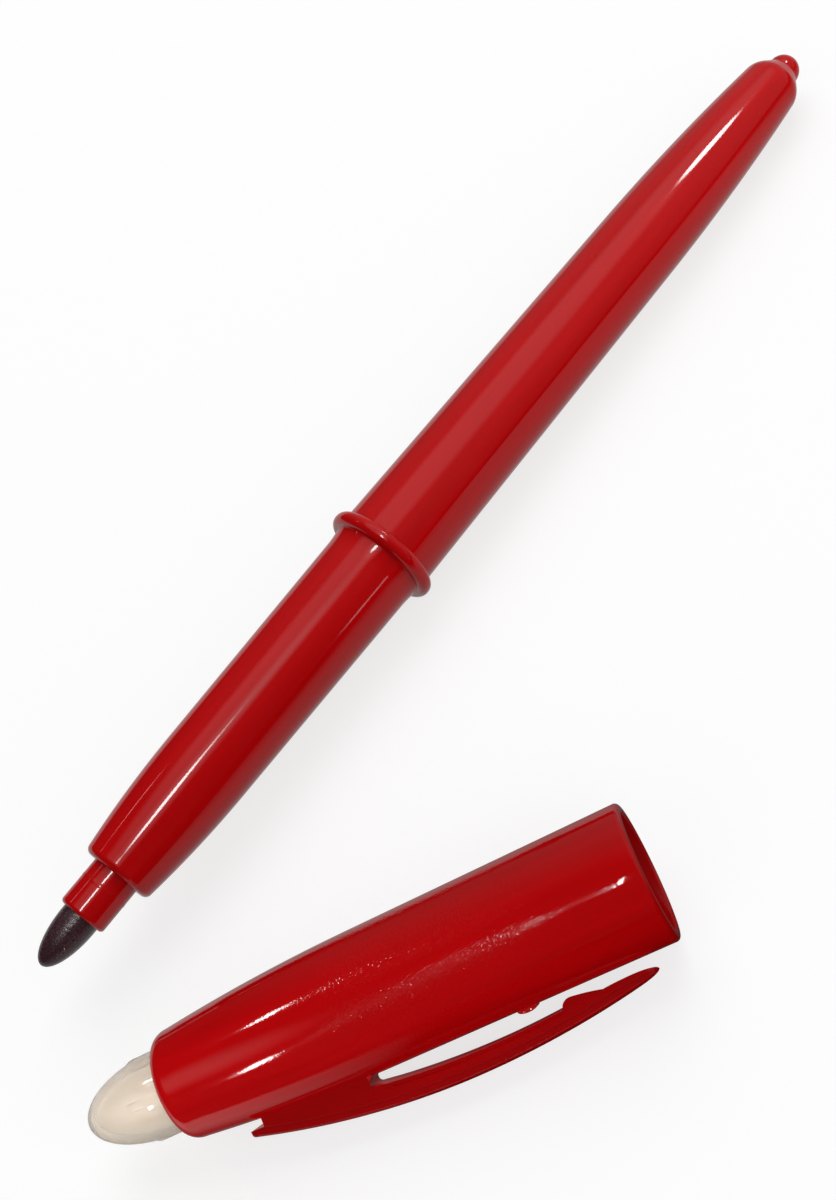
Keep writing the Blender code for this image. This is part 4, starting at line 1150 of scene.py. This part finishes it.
def glint(name, pieces, target, azimuth, elevation, wide, high, brightness, turn=0.0, core=0.5):
    """A soft-edged card, sized by the degrees that it fills, that shows only as a reflection in some pieces."""
    distance = 0.8
    width = 2 * distance * tan(radians(wide) / 2)
    height = 2 * distance * tan(radians(high) / 2)
    lamp = soft_lamp(name, target, azimuth, elevation, distance, width, height,
                     brightness * pi * width * height)
    lamp.rotation_euler.rotate_axis("Z", radians(turn))
    lamp.visible_diffuse = False
    lamp.light_linking.receiver_collection = pieces
    lamp.data.use_nodes = True
    tree = lamp.data.node_tree
    tree.nodes.clear()
    across = add(tree, "ShaderNodeNewGeometry").outputs["Parametric"]
    off_middle = add(tree, "ShaderNodeVectorMath", {0: across, 1: (0.5, 0.5, 0)}, operation="DISTANCE")
    fade = add(tree, "ShaderNodeMapRange", {
        "Value": off_middle.outputs["Value"], "From Min": 0.5, "From Max": core / 2},
        interpolation_type="SMOOTHSTEP")
    light = add(tree, "ShaderNodeEmission", {"Strength": fade.outputs["Result"]})
    add(tree, "ShaderNodeOutputLight", {"Surface": light.outputs["Emission"]})
    return lamp


def lit_together(name, *pieces):
    """A collection of pieces that share lamps and reflections."""
    together = bpy.data.collections.new(name)
    for piece in pieces:
        together.objects.link(bpy.data.objects[piece])
    return together


def studio_world(stage):
    """A dim room with one wide soft window behind the marker, white where it is looked at."""
    world = bpy.data.worlds.new("studio")
    world.use_nodes = True
    tree = world.node_tree
    tree.nodes.clear()
    window_middle = from_angles(38, 15)
    window_edge, window_full = 0.15, 0.9
    coordinates = add(tree, "ShaderNodeTexCoord")
    facing = add(tree, "ShaderNodeVectorMath", {
        0: coordinates.outputs["Generated"], 1: window_middle}, operation="DOT_PRODUCT")
    path = add(tree, "ShaderNodeLightPath")
    dim_side = add(tree, "ShaderNodeMapRange", {
        "Value": path.outputs["Is Glossy Ray"], "To Min": stage.room, "To Max": stage.room_sheen})
    light = add(tree, "ShaderNodeMapRange", {
        "Value": facing.outputs["Value"], "From Min": window_edge, "From Max": window_full,
        "To Min": dim_side.outputs["Result"], "To Max": stage.window}, interpolation_type="SMOOTHSTEP")
    seen = add(tree, "ShaderNodeMath", {
        0: path.outputs["Is Camera Ray"], 1: path.outputs["Is Transmission Ray"]}, operation="MAXIMUM")
    level = add(tree, "ShaderNodeMath", {
        0: seen.outputs["Value"], 1: light.outputs["Result"]}, operation="MAXIMUM")
    sky = add(tree, "ShaderNodeBackground", {"Strength": level.outputs["Value"]})
    add(tree, "ShaderNodeOutputWorld", {"Surface": sky.outputs["Background"]})
    return world


class MARKER_OT_stage(bpy.types.Operator):
    """Lay the floor, light it softly and stand the camera where the photograph was taken"""

    bl_idname = "marker.stage"
    bl_label = "Stage"

    def execute(self, context):
        scene = context.scene
        stage, pen, cap = scene.marker_stage, scene.marker_pen, scene.marker_cap
        bm = bmesh.new()
        bmesh.ops.create_circle(bm, cap_ends=True, radius=stage.floor_radius, segments=64)
        mesh = bpy.data.meshes.new("floor")
        bm.to_mesh(mesh)
        bm.free()
        mesh.materials.append(floor_paper("floor_paper"))
        floor = bpy.data.objects.new("floor", mesh)
        scene.collection.objects.link(floor)

        scene.world = studio_world(stage)
        centre = Vector((0, 0, 0))
        tail = PEN @ Vector((-pen.seam - 3 * MM, 0, 0))
        front = PEN @ Vector((pen.front_length - 8 * MM, 0, 0))
        shell = CAP @ Vector((-cap.bend - 10 * MM, 0, 0))
        mouth = CAP @ Vector((-2 * MM, 0, 0))
        dome = CAP @ Vector((-cap.end, 0, 0))
        on_pen = lit_together("pen_pieces", "rear_barrel", "front_barrel", "nib_neck", "bullet_nib",
                              "tail_end")
        on_cap = lit_together("cap_pieces", "cap_body", "cap_dome")
        on_dome = lit_together("dome_pieces", "cap_dome")
        on_clip = lit_together("clip_pieces", "pocket_clip")

        # Target, azimuth and elevation in degrees, distance in metres, light and the pieces that it falls on
        lamps = {
            "key": (centre, 75, 55, 0.9, stage.key, None),
            "right_fill": (centre, -60, 32, 0.9, stage.fill * 1.1, None),
            "left_fill": (centre, -130, 32, 0.9, stage.fill * 0.65, None),
            "pen_fill": (centre, -60, 32, 0.9, stage.fill * 0.5, on_pen),
            "tail_lamp": (tail, -35, 35, 0.12, stage.near, on_pen),
            "front_lamp": (front, 125, 45, 0.13, stage.near * 0.4, on_pen),
            "dome_lamp": (dome, -125, 38, 0.10, stage.near, on_cap),
            "dome_fill": (dome, -150, 50, 0.12, stage.near * 0.85, on_dome),
            "slot_lamp": (shell, 90, 30, 0.9, stage.near * 2, on_clip),
        }
        for name, (target, azimuth, elevation, far, light, pieces) in lamps.items():
            lamp = soft_lamp(name, target, azimuth, elevation, far, far, far, light * (pi * far) ** 2)
            lamp.visible_glossy = False
            if pieces:
                lamp.light_linking.receiver_collection = pieces

        # Pieces, target, azimuth, elevation, width and height in degrees, and brightness
        glint("pen_ceiling", on_pen, centre, 32, 72, 60, 84, 0.5)
        glint("tail_glint", on_pen, tail, 16, 47.5, 12, 8.5, 24, turn=38, core=0.7)
        glint("front_glint", on_pen, front, -57, 70.5, 22, 8, 22, turn=10)
        glint("front_glow", on_pen, front, -57, 70, 50, 34, 1.0, turn=10, core=0.2)
        glint("front_line", on_pen, front, 126, 50, 14, 1.6, 5, turn=-22)
        glint("ring_line", on_pen, centre, -44, 5, 4, 5, 2.5)

        glint("upper_glint", on_cap, shell, 147, 60.5, 8, 4, 30)
        glint("lower_glint", on_cap, shell, -123, 33, 4, 9, 40)
        glint("mouth_glint", on_cap, mouth, -104, 63, 2, 10, 40, core=0.7)
        glint("long_line", on_cap, shell, -114, 50, 5, 36, 0.55, turn=-14, core=0.3)
        glint("roof_line", on_cap, shell, 160, 75.5, 10, 0.8, 1.5)
        glint("left_card", on_cap, shell, -157, 51, 44, 30, 0.5, core=0.2)

        glint("clip_line", on_clip, shell, 98, 38, 16, 24, 3)
        glint("clip_card", on_clip, shell, -100, 8, 40, 24, 0.6)
        for name in ("slot_lamp", "clip_line"):
            bpy.data.objects[name].light_linking.blocker_collection = on_clip

        data = bpy.data.cameras.new("camera")
        data.lens = stage.camera_lens
        data.sensor_width = FILM_SIZE
        data.clip_start = 10 * MM
        camera = bpy.data.objects.new("camera", data)
        scene.collection.objects.link(camera)
        aim(camera, Vector(stage.camera_place), Vector(stage.camera_aim))
        turn = Euler((0, 0, stage.camera_roll)).to_quaternion()
        camera.rotation_euler = (camera.rotation_euler.to_quaternion() @ turn).to_euler()
        scene.camera = camera
        scene.view_settings.view_transform = "Standard"
        return {"FINISHED"}


BUILDERS = (
    MARKER_OT_rear_barrel,
    MARKER_OT_front_barrel,
    MARKER_OT_broad_point,
    MARKER_OT_tail_end,
    MARKER_OT_fine_point,
    MARKER_OT_reservoir,
    MARKER_OT_cap_body,
    MARKER_OT_pocket_clip,
    MARKER_OT_cap_dome,
    MARKER_OT_stage,
)


class MARKER_PT_sidebar(bpy.types.Panel):
    """Lists the marker's pieces in the order in which they are built"""

    bl_idname = "MARKER_PT_sidebar"
    bl_label = "Marker"
    bl_space_type = "VIEW_3D"
    bl_region_type = "UI"
    bl_category = "Marker"

    def draw(self, context):
        for builder in BUILDERS:
            self.layout.operator(builder.bl_idname)


GROUPS = {
    "marker_pen": PenSizes,
    "marker_points": PointSizes,
    "marker_cap": CapSizes,
    "marker_clip": ClipSizes,
    "marker_finish": Finish,
    "marker_stage": Stage,
}


def register():
    for name, group in GROUPS.items():
        bpy.utils.register_class(group)
        setattr(bpy.types.Scene, name, bpy.props.PointerProperty(type=group))
    for builder in BUILDERS:
        bpy.utils.register_class(builder)
    bpy.utils.register_class(MARKER_PT_sidebar)


def unregister():
    bpy.utils.unregister_class(MARKER_PT_sidebar)
    for builder in reversed(BUILDERS):
        bpy.utils.unregister_class(builder)
    for name, group in reversed(GROUPS.items()):
        delattr(bpy.types.Scene, name)
        bpy.utils.unregister_class(group)


def main():
    """Build every piece and the stage."""
    register()
    for builder in BUILDERS:
        group, name = builder.bl_idname.split(".")
        getattr(getattr(bpy.ops, group), name)()


if __name__ == "__main__":
    main()
